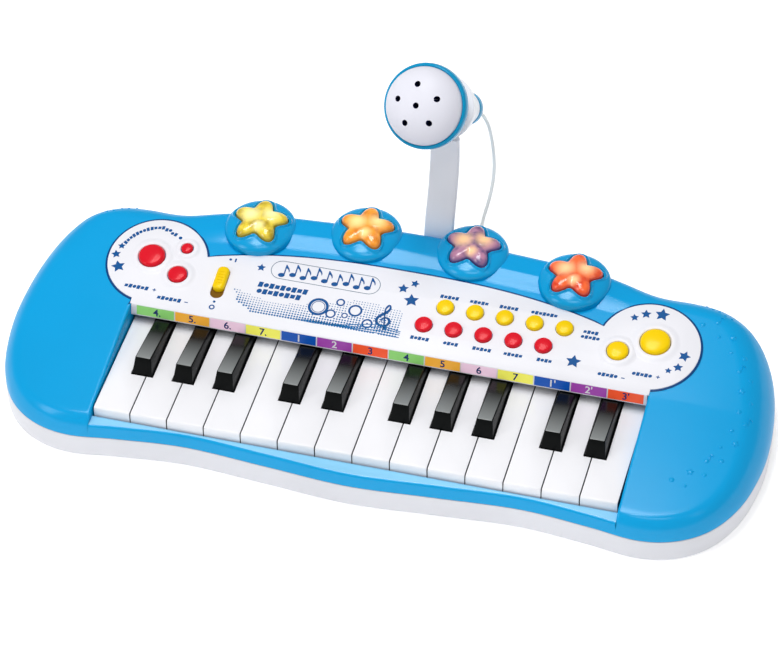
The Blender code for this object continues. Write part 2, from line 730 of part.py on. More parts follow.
def make_stem():
    """The flat curved stem, with a collar that holds the microphone's body."""
    centre_line = [Vector(p) for p in ARM_PATH]
    near, far = [], []
    for i, point in enumerate(centre_line):
        along = (centre_line[min(i + 1, len(centre_line) - 1)] - centre_line[max(i - 1, 0)]).normalized()
        normal = Vector((-along.y, along.x)) * ARM_THICK / 2
        near.append(point + normal)
        far.append(point - normal)
    made = bmesh.new()
    loop = near + far[::-1]
    face = made.faces.new([made.verts.new((ARM_X - ARM_WIDTH / 2, p.x, p.y)) for p in loop])
    raised = bmesh.ops.extrude_face_region(made, geom=[face])["geom"]
    bmesh.ops.translate(made, vec=(ARM_WIDTH, 0, 0),
                        verts=[item for item in raised if isinstance(item, bmesh.types.BMVert)])
    stem = add_mesh("microphone_stem", made, white_plastic())
    frame = mic_frame()
    collar = turned("collar", [(0, -24), (body_radius(-24) + 3, -24), (body_radius(-34) + 3.4, -34), (0, -34)],
                    white_plastic(), 20, CUTTERS)
    place(collar, frame)
    join(stem, collar)
    bore_profile = [(0, -15)] + [(body_radius(z) + FIT, z) for z in (-15, -20, -25, -30, -35, -42)] + [(0, -42)]
    bore = turned("collar_bore", bore_profile, white_plastic(), 20, CUTTERS)
    place(bore, frame)
    cut(stem, bore)


def make_lead():
    end = Vector(CORD_ROUTE[-1])
    gland = turned("cord_gland", [(0, 0), (1.6, 0), (GLAND_RADIUS - 0.6, -5), (GLAND_RADIUS, -8),
                                  (GLAND_RADIUS, GLAND_Y[0] - GLAND_Y[1]), (0, GLAND_Y[0] - GLAND_Y[1])],
                   rubber(), 12)
    place(gland, Matrix.Translation((end.x, GLAND_Y[1], end.z)) @ Matrix.Rotation(-math.pi / 2, 4, "X"))
    points = spline_through(CORD_ROUTE, CORD_STEPS)
    curve = bpy.data.curves.new("microphone_lead", "CURVE")
    curve.dimensions = "3D"
    curve.bevel_depth = CORD_RADIUS * MM
    curve.bevel_resolution = 2
    curve.use_fill_caps = True
    spline = curve.splines.new("POLY")
    spline.points.add(len(points) - 1)
    for target, point in zip(spline.points, points):
        target.co = (*(point * MM), 1)
    curve.materials.append(white_plastic())
    lead = bpy.data.objects.new("microphone_lead", curve)
    PARTS.objects.link(lead)


def make_speaker():
    x, y = SPEAKER_PLACE
    floor = WALL + SEAM
    speaker = turned("speaker", [(0, 14), (10, 14), (SPEAKER_RADIUS - 2, 17), (SPEAKER_RADIUS, 17),
                                 (SPEAKER_RADIUS, 14.5), (12, 8), (12, 0), (0, 0)],
                     material("speaker_black", (0.03, 0.03, 0.03), 0.6), 20)
    place(speaker, Matrix.Translation((x, y, floor)))


def main():
    make_bottom_case()
    make_battery_parts()
    make_top_case()
    make_control_panel()
    make_buttons()
    make_switch()
    bore = pivot_cutter()
    make_white_keys(bore)
    make_black_keys(bore)
    make_key_bed()
    make_star_lenses()
    make_microphone()
    make_stem()
    make_lead()
    make_speaker()


main()
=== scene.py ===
"""Looks of the toy electronic keyboard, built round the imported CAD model.

Lengths in the geometry functions are in millimetres in the CAD's frame; add_mesh turns them to metres.
"""

import math

import bmesh
import bpy
from mathutils import Matrix, Vector


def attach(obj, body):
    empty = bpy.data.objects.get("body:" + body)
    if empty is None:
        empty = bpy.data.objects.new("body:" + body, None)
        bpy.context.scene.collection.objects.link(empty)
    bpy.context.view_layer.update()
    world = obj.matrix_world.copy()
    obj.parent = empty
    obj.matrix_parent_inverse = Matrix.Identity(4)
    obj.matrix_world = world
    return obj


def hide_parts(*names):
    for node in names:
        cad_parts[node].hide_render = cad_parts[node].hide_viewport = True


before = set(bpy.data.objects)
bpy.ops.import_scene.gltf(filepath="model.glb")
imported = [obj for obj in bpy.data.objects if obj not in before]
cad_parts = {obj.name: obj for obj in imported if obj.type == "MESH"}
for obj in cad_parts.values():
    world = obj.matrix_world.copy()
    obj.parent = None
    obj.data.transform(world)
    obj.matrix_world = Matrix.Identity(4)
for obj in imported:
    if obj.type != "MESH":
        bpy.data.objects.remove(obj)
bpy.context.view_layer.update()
MM = 0.001

# Case, as in the CAD model
HALF_OUTLINE = (
    (0, -82.9), (45, -79.9), (89, -77.0), (125, -80.0), (152, -83.2), (172, -78.8), (188, -66.8),
    (199, -47.3), (204.5, -23.3), (205.5, -1.3), (203, 24), (197, 44.7), (186, 61), (170, 70.5),
    (151, 73.2), (132, 72.5), (112, 75.5), (60, 80.2), (0, 83.2),
)
PARTING, SEAM = 14.4, 0.3
SPINE_Y, STRAIGHT_X = -5.0, 150.0
WELL_HALF, WELL_FRONT, RAIL_DROP = 140.6, -74.1, 6.0
KEY_TOP, KEY_FRONT = 28.4, -73.3
TILT = math.radians(11)
PANEL_FRONT, PANEL_FRONT_Z = -5.3, 40.4

# Control panel
PANEL_HALF = 141.0
LOBE_X, LOBE_V, LOBE_RADIUS = 134.6, 29.75, 27.0
NOTCH_X = 109.4
BACK_V, BACK_DROP, BACK_POWER = 50.4, 12.9, 2.6
LIP_DROP, LIP_LEAN = 7.0, 1.5


# ---------------------------------------------------------------- curves and outlines

def clamped(share):
    return min(max(share, 0.0), 1.0)


def smooth(low, high, value):
    t = clamped((value - low) / (high - low))
    return t * t * (3 - 2 * t)


def spline_through(points, steps, closed=False):
    """Points along a smooth curve that passes through each given point."""
    count = len(points)
    vectors = [Vector(p) for p in points]
    made = []
    for i in range(count if closed else count - 1):
        if closed:
            before, start, end, after = (vectors[(i + k) % count] for k in (-1, 0, 1, 2))
        else:
            before, start = vectors[max(i - 1, 0)], vectors[i]
            end, after = vectors[i + 1], vectors[min(i + 2, count - 1)]
        for step in range(steps):
            t = step / steps
            made.append(0.5 * (2 * start + (end - before) * t
                               + (2 * before - 5 * start + 4 * end - after) * t ** 2
                               + (3 * start - before - 3 * end + after) * t ** 3))
    if not closed:
        made.append(vectors[-1])
    return made


def arc(cx, cy, radius, start, end, steps):
    """Points on a circle's arc, in degrees."""
    angles = [math.radians(start + (end - start) * i / steps) for i in range(steps + 1)]
    return [(cx + radius * math.cos(a), cy + radius * math.sin(a)) for a in angles]


def circle(cx, cy, radius, steps=16):
    return arc(cx, cy, radius, 0, 360, steps)[:-1]


def rounded_box(half_x, half_y, corner, steps):
    """A rectangle's outline with round corners, about the origin."""
    a, b = half_x - corner, half_y - corner
    corners = ((a, b, 0), (-a, b, 90), (-a, -b, 180), (a, -b, 270))
    return [p for x, y, start in corners for p in arc(x, y, corner, start, start + 90, steps)]


def star_points(cx, cy, radius, turn, waist=0.5):
    """A five-pointed star's outline, with its first tip at the turn in radians."""
    points = []
    for k in range(10):
        reach = radius if k % 2 == 0 else radius * waist
        angle = turn + math.tau * k / 10
        points.append((cx + reach * math.cos(angle), cy + reach * math.sin(angle)))
    return points


# ---------------------------------------------------------------- meshes

def link_object(name, data):
    obj = bpy.data.objects.new(name, data)
    bpy.context.collection.objects.link(obj)
    return obj


def add_mesh(name, made, materials, frame_matrix=None, sharp=35, recalc=True):
    """Links a mesh drawn in millimetres as a piece, in metres, after an optional placing matrix."""
    if recalc:
        bmesh.ops.recalc_face_normals(made, faces=made.faces)
    if frame_matrix is not None:
        bmesh.ops.transform(made, matrix=frame_matrix, verts=made.verts)
    bmesh.ops.scale(made, vec=(MM, MM, MM), verts=made.verts)
    data = bpy.data.meshes.new(name)
    made.to_mesh(data)
    made.free()
    for item in materials if isinstance(materials, (list, tuple)) else [materials]:
        data.materials.append(item)
    data.shade_smooth()
    data.set_sharp_from_angle(angle=math.radians(sharp))
    return link_object(name, data)


def finished(obj, body, slot, *nodes):
    """Says what a piece rides on and which CAD nodes it stands for; the slot is not used."""
    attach(obj, body)
    if nodes:
        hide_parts(*nodes)


def add_trim(name, made, materials, frame_matrix=None, sharp=35):
    """A piece of the case that stands for no CAD node of its own."""
    finished(add_mesh(name, made, materials, frame_matrix, sharp), "case", "white_plastic")


def ring_at(made, points, height):
    return [made.verts.new((x, y, height)) for x, y in points]


def loft(made, rings):
    """Joins each closed ring of vertices to the next."""
    for lower, upper in zip(rings, rings[1:]):
        for i in range(len(lower)):
            nxt = (i + 1) % len(lower)
            made.faces.new((lower[i], lower[nxt], upper[nxt], upper[i]))


def strip_between(made, columns):
    """Joins each open column of points to the next."""
    rows = [[made.verts.new(p) for p in column] for column in columns]
    for left, right in zip(rows, rows[1:]):
        for corners in zip(left, right, right[1:], left[1:]):
            made.faces.new(corners)
    return rows


def revolve(made, profile, sides):
    """Turns (radius, height) points about Z into a closed or open surface."""
    rings = []
    for radius, height in profile:
        rings.append(ring_at(made, circle(0, 0, radius, sides) if radius > 1e-6 else [(0, 0)], height))
    for lower, upper in zip(rings, rings[1:]):
        for k in range(sides):
            nxt = (k + 1) % sides
            corners = [lower[k % len(lower)], lower[nxt % len(lower)], upper[nxt % len(upper)],
                       upper[k % len(upper)]]
            corners = list(dict.fromkeys(corners))
            if len(corners) > 2:
                made.faces.new(corners)


def join(made, other):
    """Moves everything in one mesh under construction into another."""
    held = bpy.data.meshes.new("held")
    other.to_mesh(held)
    other.free()
    made.from_mesh(held)
    bpy.data.meshes.remove(held)


def extrude_face(made, corners, shift):
    """A closed shape swept by a flat face that moves by the shift."""
    face = made.faces.new(corners)
    raised = bmesh.ops.extrude_face_region(made, geom=[face])["geom"]
    moved = [item for item in raised if isinstance(item, bmesh.types.BMVert)]
    bmesh.ops.translate(made, vec=shift, verts=moved)


def extrude_outline(made, outline, low, high):
    extrude_face(made, ring_at(made, outline, low), (0, 0, high - low))


def add_bar(made, place, size):
    """A rectangular block of the given size at a placing matrix."""
    bmesh.ops.create_cube(made, size=1, matrix=place @ Matrix.Diagonal((*size, 1)))


def add_drill(made, x, y, z, radius, depth, segments):
    """A closed upright cylinder that cuts a round hole."""
    bmesh.ops.create_cone(made, cap_ends=True, segments=segments, radius1=radius, radius2=radius, depth=depth,
                          matrix=Matrix.Translation((x, y, z)))


def evaluated_mesh(obj):
    bpy.context.view_layer.update()
    return bpy.data.meshes.new_from_object(obj.evaluated_get(bpy.context.evaluated_depsgraph_get()))


def cut_away(made, cutter, material):
    """What a closed cutter leaves of a closed shape, as a mesh under construction in millimetres."""
    body, tool = (add_mesh("cut", shape, material, sharp=50) for shape in (made, cutter))
    modifier = body.modifiers.new("cut", "BOOLEAN")
    modifier.operation = "DIFFERENCE"
    modifier.object = tool
    modifier.solver = "EXACT"
    left = evaluated_mesh(body)
    left.transform(Matrix.Scale(1 / MM, 4))
    kept = bmesh.new()
    kept.from_mesh(left)
    for item in (body, tool):
        bpy.data.objects.remove(item, do_unlink=True)
    return kept


def flat_polygon(made, outline, height=0.0, material=0):
    """A flat face that looks up, whichever way round its outline runs."""
    turning = sum(a[0] * b[1] - b[0] * a[1] for a, b in zip(outline, outline[1:] + outline[:1]))
    face = made.faces.new(ring_at(made, outline if turning > 0 else outline[::-1], height))
    face.material_index = material


def flat_box(made, x, y, half_x, half_y, height=0.0):
    flat_polygon(made, [(x - half_x, y - half_y), (x + half_x, y - half_y), (x + half_x, y + half_y),
                        (x - half_x, y + half_y)], height)


def annulus(made, cx, cy, inner, outer, height=0.0, steps=48):
    loft(made, [ring_at(made, circle(cx, cy, radius, steps), height) for radius in (outer, inner)])


def heading(points, i):
    """The direction of a line of points at one of them."""
    return (points[min(i + 1, len(points) - 1)] - points[max(i - 1, 0)]).normalized()


def ribbon(made, points, widths, height=0.0):
    """A flat stroke along a line of points, with a width at each."""
    left, right = [], []
    for i, point in enumerate(points):
        along = heading(points, i)
        normal = Vector((-along.y, along.x)) * widths[i] / 2
        left.append(made.verts.new((point.x + normal.x, point.y + normal.y, height)))
        right.append(made.verts.new((point.x - normal.x, point.y - normal.y, height)))
    for a, b, c, d in zip(left, left[1:], right[1:], right):
        made.faces.new((a, d, c, b))


# ---------------------------------------------------------------- materials

def linear(red, green, blue):
    """Linear colour from 8-bit display values."""
    return tuple((c / 255 / 12.92) if c / 255 <= 0.04045 else ((c / 255 + 0.055) / 1.055) ** 2.4
                 for c in (red, green, blue)) + (1.0,)


def set_inputs(node, **values):
    """Puts values in a node's named inputs; an underscore stands for a space in a name."""
    for name, value in values.items():
        node.inputs[name.replace("_", " ")].default_value = value


def add_node(tree, kind, **values):
    node = tree.nodes.new("ShaderNode" + kind)
    set_inputs(node, **values)
    return node


def wire(tree, start, output, end, entry):
    tree.links.new(start.outputs[output], end.inputs[entry])


def shader_material(name, roughness, specular):
    made = bpy.data.materials.new(name)
    made.use_nodes = True
    shader = made.node_tree.nodes["Principled BSDF"]
    set_inputs(shader, Roughness=roughness, Specular_IOR_Level=specular)
    return made, made.node_tree, shader


def add_bump(tree, shader, scale, strength, distance=0.0004, detail=2.0):
    """A fine moulded surface texture."""
    place = add_node(tree, "TexCoord")
    grain = add_node(tree, "TexNoise", Scale=scale, Detail=detail)
    bump = add_node(tree, "Bump", Strength=strength, Distance=distance)
    wire(tree, place, "Object", grain, "Vector")
    wire(tree, grain, "Fac", bump, "Height")
    wire(tree, bump, "Normal", shader, "Normal")
    return place


def ramp_between(tree, share, shader, first, second, low=0.0, high=1.0):
    """Colours a surface from first to second as a share rises from low to high."""
    ramp = add_node(tree, "ValToRGB")
    for element, position, colour in zip(ramp.color_ramp.elements, (low, high), (first, second)):
        element.position = position
        element.color = colour
    tree.links.new(share, ramp.inputs["Fac"])
    wire(tree, ramp, "Color", shader, "Base Color")
    return ramp


def tinted(tree, shader, place, first, second, scale, low=0.35, high=0.65):
    """A faint cloudy change of colour between two near shades."""
    clouds = add_node(tree, "TexNoise", Scale=scale, Detail=3.0)
    wire(tree, place, "Object", clouds, "Vector")
    return ramp_between(tree, clouds.outputs["Fac"], shader, first, second, low, high)


def plastic(name, colour, roughness=0.28, specular=0.5, coat=0.0, shade=0.94, grain=0.06, grain_scale=900.0,
            sheen=(1, 1, 1), gloss=0.0):
    """A moulded plastic with faint shade changes and a fine skin texture.

    Gloss adds an even polish that doesn't whiten towards the edges."""
    made, tree, shader = shader_material(name, roughness, specular)
    set_inputs(shader, Specular_Tint=(*sheen, 1), Coat_Weight=coat, Coat_Roughness=0.08)
    place = add_bump(tree, shader, grain_scale, grain)
    darker = tuple(c * shade for c in colour[:3]) + (1.0,)
    tinted(tree, shader, place, darker, colour, 14.0)
    if gloss:
        polish = add_node(tree, "BsdfGlossy", Roughness=0.19, Color=(0.8, 0.92, 1, 1))
        both = add_node(tree, "MixShader", Fac=gloss)
        wire(tree, shader, "BSDF", both, 1)
        wire(tree, polish, "BSDF", both, 2)
        wire(tree, both, "Shader", tree.nodes["Material Output"], "Surface")
    return made


def ink(name, colour):
    return plastic(name, colour, 0.4, 0.15, grain=0.0)


def graded_painted_reflection(name, back, front, start, end):
    """A moulded plastic whose colour changes along Y, from start to end in millimetres, as a painted
    reflection.
    """
    made, tree, shader = shader_material(name, 0.25, 0.3)
    place = add_bump(tree, shader, 900.0, 0.02)
    parts = add_node(tree, "SeparateXYZ")
    along = add_node(tree, "MapRange", From_Min=start * MM, From_Max=end * MM)
    wire(tree, place, "Object", parts, "Vector")
    wire(tree, parts, "Y", along, "Value")
    ramp_between(tree, along.outputs["Result"], shader, back, front)
    return made


def smooth_range(tree, source, **values):
    """Eases a value between the ends given."""
    eased = add_node(tree, "MapRange", **values)
    eased.interpolation_type = "SMOOTHSTEP"
    tree.links.new(source, eased.inputs["Value"])
    return eased.outputs["Result"]


def mixed(tree, share, first, second):
    """Blends a colour socket towards a fixed colour."""
    blend = tree.nodes.new("ShaderNodeMix")
    blend.data_type = "RGBA"
    blend.inputs["B"].default_value = second
    tree.links.new(share, blend.inputs["Factor"])
    tree.links.new(first, blend.inputs["A"])
    return blend.outputs["Result"]


def glowing(name, core, rim, hot, spots):
    """A lit lens: its colour deepens towards the rim, and soft hot spots glow inside it."""
    made, tree, shader = shader_material(name, 0.16, 0.6)
    set_inputs(shader, Coat_Weight=0.4, Coat_Roughness=0.05, Emission_Strength=0.22)
    place = add_bump(tree, shader, 260.0, 0.5, 0.0008, 3.0)
    ramp = tinted(tree, shader, place, rim, core, 150.0, 0.36, 0.56)
    edge = add_node(tree, "Attribute")
    edge.attribute_name = "share"
    deepened = smooth_range(tree, edge.outputs["Fac"], From_Min=0.55, From_Max=1.0, To_Max=0.85)
    body = mixed(tree, deepened, ramp.outputs["Color"], rim)
    warmest = None
    for x, y, z, reach in spots:
        apart = add_node(tree, "VectorMath")
        apart.operation = "DISTANCE"
        apart.inputs[1].default_value = (x * MM, y * MM, z * MM)
        wire(tree, place, "Object", apart, 0)
        warmth = smooth_range(tree, apart.outputs["Value"], From_Min=reach * MM, From_Max=0.0)
        if warmest is None:
            warmest = warmth
            continue
        larger = add_node(tree, "Math")
        larger.operation = "MAXIMUM"
        tree.links.new(warmest, larger.inputs[0])
        tree.links.new(warmth, larger.inputs[1])
        warmest = larger.outputs["Value"]
    colour = mixed(tree, warmest, body, hot)
    tree.links.new(colour, shader.inputs["Emission Color"])
    tree.links.new(colour, shader.inputs["Base Color"])
    return made


BLUE_SHEEN, RED_SHEEN, YELLOW_SHEEN = (0.45, 0.8, 1.0), (1, 0.4, 0.4), (1, 0.9, 0.4)
EBONY_REFLECTION_FADE_Y = (-17.0, -43.0)
M = {
    "blue": plastic("blue_plastic", linear(0, 161, 223), 0.3, 0.04, shade=0.95, grain=0.03,
                    sheen=BLUE_SHEEN, gloss=0.028),
    # The rail's light blue is a painted reflection of the white key fronts behind it.
    "rail": plastic("rail_blue_painted_reflection", linear(140, 208, 244), 0.2, 0.4, grain=0.02),
    "pod": plastic("pod_blue", linear(0, 162, 222), 0.14, 0.1, shade=0.9, grain=0.02,
                   sheen=BLUE_SHEEN, gloss=0.03),
    "lower": plastic("lower_white", linear(222, 223, 229), 0.35, 0.3),
    "panel": plastic("panel_white", linear(238, 238, 244), 0.34, 0.25, grain=0.02),
    "ivory": plastic("white_key", linear(247, 247, 251), 0.24, 0.3, grain=0.015),
    # The keys' grey side faces are painted shade, the dark of the gaps between keys.
    "ivory_side_painted_shade": plastic("white_key_side_painted_shade", linear(96, 98, 108), 0.5, 0.1, grain=0.015),
    "ebony": plastic("black_key", linear(5, 8, 8), 0.35, 0.12, shade=0.8, grain=0.02),
    # The black keys' tops go from near black at the back to grey at the front: a painted reflection.
    "ebony_top_painted_reflection": graded_painted_reflection("black_key_top_painted_reflection", linear(10, 13, 13), linear(142, 146, 146), *EBONY_REFLECTION_FADE_Y),
    "red": plastic("red_button", linear(226, 22, 42), 0.22, 0.3, coat=0.1, shade=0.9, grain=0.02,
                   sheen=RED_SHEEN),
    "yellow": plastic("yellow_button", linear(250, 210, 0), 0.24, 0.3, coat=0.1, shade=0.93, grain=0.02,
                      sheen=YELLOW_SHEEN),
    "print": ink("print_blue", linear(2, 82, 148)),
    "dots": ink("print_dots_blue", linear(4, 104, 168)),
    "hairline": ink("print_grey", linear(76, 106, 130)),
    # A dark blue ribbon round the panel paints the shadow line of its gap.
    "edge": ink("panel_painted_shadow_line", linear(0, 66, 124)),
    # The skirt's dark yellow-brown is the knob's yellow in painted shade under the panel.
    "skirt": plastic("switch_skirt_painted_shade", linear(120, 84, 8), 0.5, 0.1, grain=0.02),
    # Dark discs for holes and sockets paint the shade inside them; the door's seam lines are dark too.
    "dark": plastic("dark_seam_and_painted_hole_shade", linear(10, 14, 24), 0.7, 0.1, grain=0.0),
    "mic": plastic("microphone_white", linear(240, 242, 248), 0.3, 0.3, grain=0.02),
    "grille": plastic("grille_white", linear(228, 228, 238), 0.4, 0.2, grain=0.02),
    "hole": plastic("hole_navy_painted_shade", linear(20, 32, 82), 0.6, 0.1, grain=0.0),
    "ring": plastic("ring_blue", linear(0, 146, 194), 0.22, 0.3, coat=0.1, grain=0.02, sheen=BLUE_SHEEN),
    "lead": plastic("lead_white", linear(252, 253, 250), 0.5, 0.2),
    "gland": plastic("gland_grey", linear(70, 72, 78), 0.6, 0.2),
    "steel": plastic("steel", (0.5, 0.5, 0.52, 1), 0.3, 0.5, shade=0.8),
}


# ---------------------------------------------------------------- camera and lead

CAMERA_AT = (0.3702, -1.3023, 1.3665)
CAMERA_TURN = (15.848, 44.23, -1.17)
LENS_MM = 166.8

CORD_RADIUS = 1.0
CORD_ROUTE = (
    (9.6, 134.9, 90.8), (11, 140.8, 86), (14.2, 144.2, 80.6), (17, 145.4, 74.6), (18.9, 145.4, 68.4),
    (20.5, 144.4, 61), (22, 142.4, 53.3), (23, 139.2, 47), (23.5, 134.8, 41.8), (23.6, 129, 37.6),
    (23.5, 122, 34.4), (23.5, 114, 33.2), (24.1, 106, 32.8), (24.9, 98, 32.5), (25, 92.3, 32.4),
)


def make_camera():
    azimuth, elevation, roll = (math.radians(a) for a in CAMERA_TURN)
    level = math.cos(elevation)
    back = Vector((math.sin(azimuth) * level, -math.cos(azimuth) * level, math.sin(elevation)))
    right = Vector((math.cos(azimuth), math.sin(azimuth), 0))
    up = back.cross(right)
    data = bpy.data.cameras.new("camera")
    data.sensor_width = 36
    data.lens = LENS_MM
    camera = link_object("camera", data)
    turned_right = right * math.cos(roll) + up * math.sin(roll)
    turned_up = up * math.cos(roll) - right * math.sin(roll)
    turn = Matrix((turned_right, turned_up, back)).transposed().to_4x4()
    camera.matrix_world = Matrix.Translation(CAMERA_AT) @ turn
    bpy.context.scene.camera = camera


def make_lead():
    points = spline_through(CORD_ROUTE[::-1], 5)
    curve = bpy.data.curves.new("lead", "CURVE")
    curve.dimensions = "3D"
    curve.bevel_depth = CORD_RADIUS * MM
    curve.bevel_resolution = 5
    curve.use_fill_caps = True
    spline = curve.splines.new("POLY")
    spline.points.add(len(points) - 1)
    for target, point in zip(spline.points, points):
        target.co = (*(point * MM), 1)
    spline.use_smooth = True
    curve.materials.append(M["lead"])
    lead = link_object("lead", curve)
    finished(lead, "case", "lead", "microphone_lead")


make_camera()
make_lead()


# ---------------------------------------------------------------- the case's shape

CROWN_INSET = 0.9
CROWN_TOP = PANEL_FRONT_Z + 9.9
COVE_RISE, COVE_START, COVE_RUN = 3.1, 16.5, 8.0
CREST_Y, CREST_BEND = 65.7, 0.0006
CHEEK_FALL = 0.0009
WELL_ROUND, RAIL_ROUND = 1.3, 1.7
BOTTOM_Z = PARTING + SEAM / 2
RAIL_Z = KEY_TOP - RAIL_DROP
MIRRORED = tuple((-x, y) for x, y in HALF_OUTLINE[-2:0:-1])
OUTLINE = [tuple(p) for p in spline_through(HALF_OUTLINE + MIRRORED, 12, closed=True)]
SEGMENTS = list(zip(OUTLINE, OUTLINE[1:] + OUTLINE[:1]))


def outline_y(x, back):
    for (x0, y0), (x1, y1) in SEGMENTS:
        if (y0 > 0) == back and min(x0, x1) <= x <= max(x0, x1) and x0 != x1:
            return y0 + (y1 - y0) * (x - x0) / (x1 - x0)
    raise ValueError("the outline doesn't cross this x")


def outline_distance(x, y):
    nearest = 1e9
    for (x0, y0), (x1, y1) in SEGMENTS:
        if abs(x - x0) > nearest + 20 or abs(y - y0) > nearest + 20:
            continue
        run, rise = x1 - x0, y1 - y0
        along = clamped(((x - x0) * run + (y - y0) * rise) / (run * run + rise * rise))
        nearest = min(nearest, math.hypot(x - x0 - along * run, y - y0 - along * rise))
    return nearest


def round_over(distance, radius):
    """How far an edge of this radius has dropped at a distance from it."""
    share = clamped(distance / radius)
    return radius * (1 - math.sqrt(max(1 - (1 - share) ** 2, 0.0)))


def crown_z(x, y):
    """Height of the case's top before its edges roll over, with the cove that climbs to the ridge."""
    front = KEY_TOP - 0.5
    if y < PANEL_FRONT:
        rise = PANEL_FRONT_Z - CROWN_INSET - front
        height = front + (y - KEY_FRONT) * rise / (PANEL_FRONT - KEY_FRONT)
    else:
        height = PANEL_FRONT_Z + math.tan(TILT) * (y - PANEL_FRONT) - CROWN_INSET
    height = min(height, CROWN_TOP)
    crest = CREST_Y - CREST_BEND * x * x
    climb = clamped((y - crest + COVE_START) / COVE_RUN)
    height += COVE_RISE * (1 - smooth(90, 125, abs(x))) * (0.75 * climb + 0.25 * smooth(0, 1, climb))
    height -= CHEEK_FALL * max(abs(x) - STRAIGHT_X, 0) ** 2
    if abs(x) >= WELL_HALF and y < PANEL_FRONT:
        height -= round_over(abs(x) - WELL_HALF, WELL_ROUND)
    return height


def roll_radius(x, y):
    return 7 + 9 * smooth(-73, 7, y) + 7 * smooth(100, 150, abs(x)) * smooth(-10, 45, y)


def cheek_surface_z(x, y):
    share = min(outline_distance(x, y) / roll_radius(x, y), 1.0)
    return BOTTOM_Z + (crown_z(x, y) - BOTTOM_Z) * math.sqrt(max(1 - (1 - share) ** 2, 0))


def rail_points(x):
    """The rail before the keys: up its front, over a small round, and flat to the key well."""
    edge = outline_y(x, False)
    centre_y, centre_z = edge + 0.5 + RAIL_ROUND, RAIL_Z - RAIL_ROUND
    points = [(x, edge, BOTTOM_Z), (x, edge + 0.25, BOTTOM_Z + 2.5), (x, edge + 0.5, centre_z)]
    points += [(x, y, z) for y, z in arc(centre_y, centre_z, RAIL_ROUND, 180, 90, 6)[1:]]
    return points + [(x, centre_y + (WELL_FRONT - centre_y) * share, RAIL_Z) for share in (0.35, 0.7, 1.0)]


def cheek_column(x, y, inner_x, inner_y, steps):
    """Points from the case's side at x, y over its rolled edge and inwards along the top."""
    reach = math.dist((x, y), (inner_x, inner_y))
    roll = roll_radius(x, y)
    depths = [roll * (1 - math.cos(math.radians(a))) for a in range(0, 91, 6)]
    depths += [roll + (reach - roll) * (k + 1) / steps for k in range(steps)]
    column = []
    for depth in depths:
        px, py = x + (inner_x - x) * depth / reach, y + (inner_y - y) * depth / reach
        column.append((px, py, cheek_surface_z(px, py)))
    return column


def make_end(made, side):
    """One end of the case, in columns that run in from its outline to the spine."""
    first = (side * STRAIGHT_X, outline_y(STRAIGHT_X, side < 0))
    last = (side * STRAIGHT_X, outline_y(STRAIGHT_X, side > 0))
    begin, stop = (min(range(len(OUTLINE)), key=lambda i: math.dist(OUTLINE[i], p)) for p in (first, last))
    run = [OUTLINE[(begin + k) % len(OUTLINE)] for k in range((stop - begin) % len(OUTLINE) + 1)]
    run = [first] + run[1:-1] + [last]
    strip_between(made, [cheek_column(x, y, side * STRAIGHT_X, SPINE_Y, 34) for x, y in run])


def make_well_side(made, side, cheek, rail_edge):
    """A side wall of the key well, and the step down from the cheek to the rail before it."""
    x = side * WELL_HALF
    corner = Vector((x, WELL_FRONT, cheek_surface_z(x, WELL_FRONT)))
    top = [corner] + [p for p in cheek if p.y >= WELL_FRONT - 0.01] + [Vector((x, -2.0, crown_z(x, -2.0)))]
    strip_between(made, [[tuple(p), (x, p.y, PARTING + 1)] for p in top])
    step = [tuple(p) for p in cheek if p.y < WELL_FRONT] + [tuple(corner)]
    made.faces.new([made.verts.new(p) for p in step + rail_edge[::-1][:-1]])


def make_upper_case():
    made = bmesh.new()
    near = [WELL_HALF + s for s in (0, 0.2, 0.5, 0.9, 1.4, 2.4, 4, 6.5)] + [STRAIGHT_X]
    inner = [x * 2.5 for x in range(-56, 57)]
    rail_xs = [-WELL_HALF] + inner + [WELL_HALF]
    back_xs = [-x for x in near[::-1]] + inner + near
    cheeks = {}
    for side in (1, -1):
        xs = near if side > 0 else [-x for x in near[::-1]]
        rows = strip_between(made, [cheek_column(x, outline_y(x, False), x, SPINE_Y, 34) for x in xs])
        cheeks[side] = [v.co.copy() for v in (rows[0] if side > 0 else rows[-1])]
    rail = [rail_points(x) for x in rail_xs]
    strip_between(made, rail)
    back = []
    for x in reversed(back_xs):
        stop = SPINE_Y + (3 if abs(x) < WELL_HALF else 0)
        back.append(cheek_column(x, outline_y(x, True), x, stop, 60))
    strip_between(made, back)
    for side in (1, -1):
        make_end(made, side)
    for side in (1, -1):
        make_well_side(made, side, cheeks[side], rail[0] if side < 0 else rail[-1])
    # The well's front wall, below the rail's inner edge
    strip_between(made, [[(x, WELL_FRONT, RAIL_Z), (x, WELL_FRONT, PARTING + 1)] for x in rail_xs])
    bmesh.ops.remove_doubles(made, verts=made.verts, dist=0.004)
    # Faces on the rail's top take the rail's light blue, a painted reflection.
    for face in made.faces:
        centre = face.calc_center_median()
        if abs(centre.x) < WELL_HALF and centre.y < WELL_FRONT and centre.z > RAIL_Z - 0.06:
            face.material_index = 1
    obj = add_mesh("upper_shell", made, [M["blue"], M["rail"]], sharp=40)
    finished(obj, "case", "blue_shell", "top_case")


def offset_outline(points, inset):
    moved = []
    for i, (x, y) in enumerate(points):
        before, after = Vector(points[i - 1]), Vector(points[(i + 1) % len(points)])
        normal = Vector((before.y - after.y, after.x - before.x)).normalized()
        moved.append((x + normal.x * inset, y + normal.y * inset))
    return moved


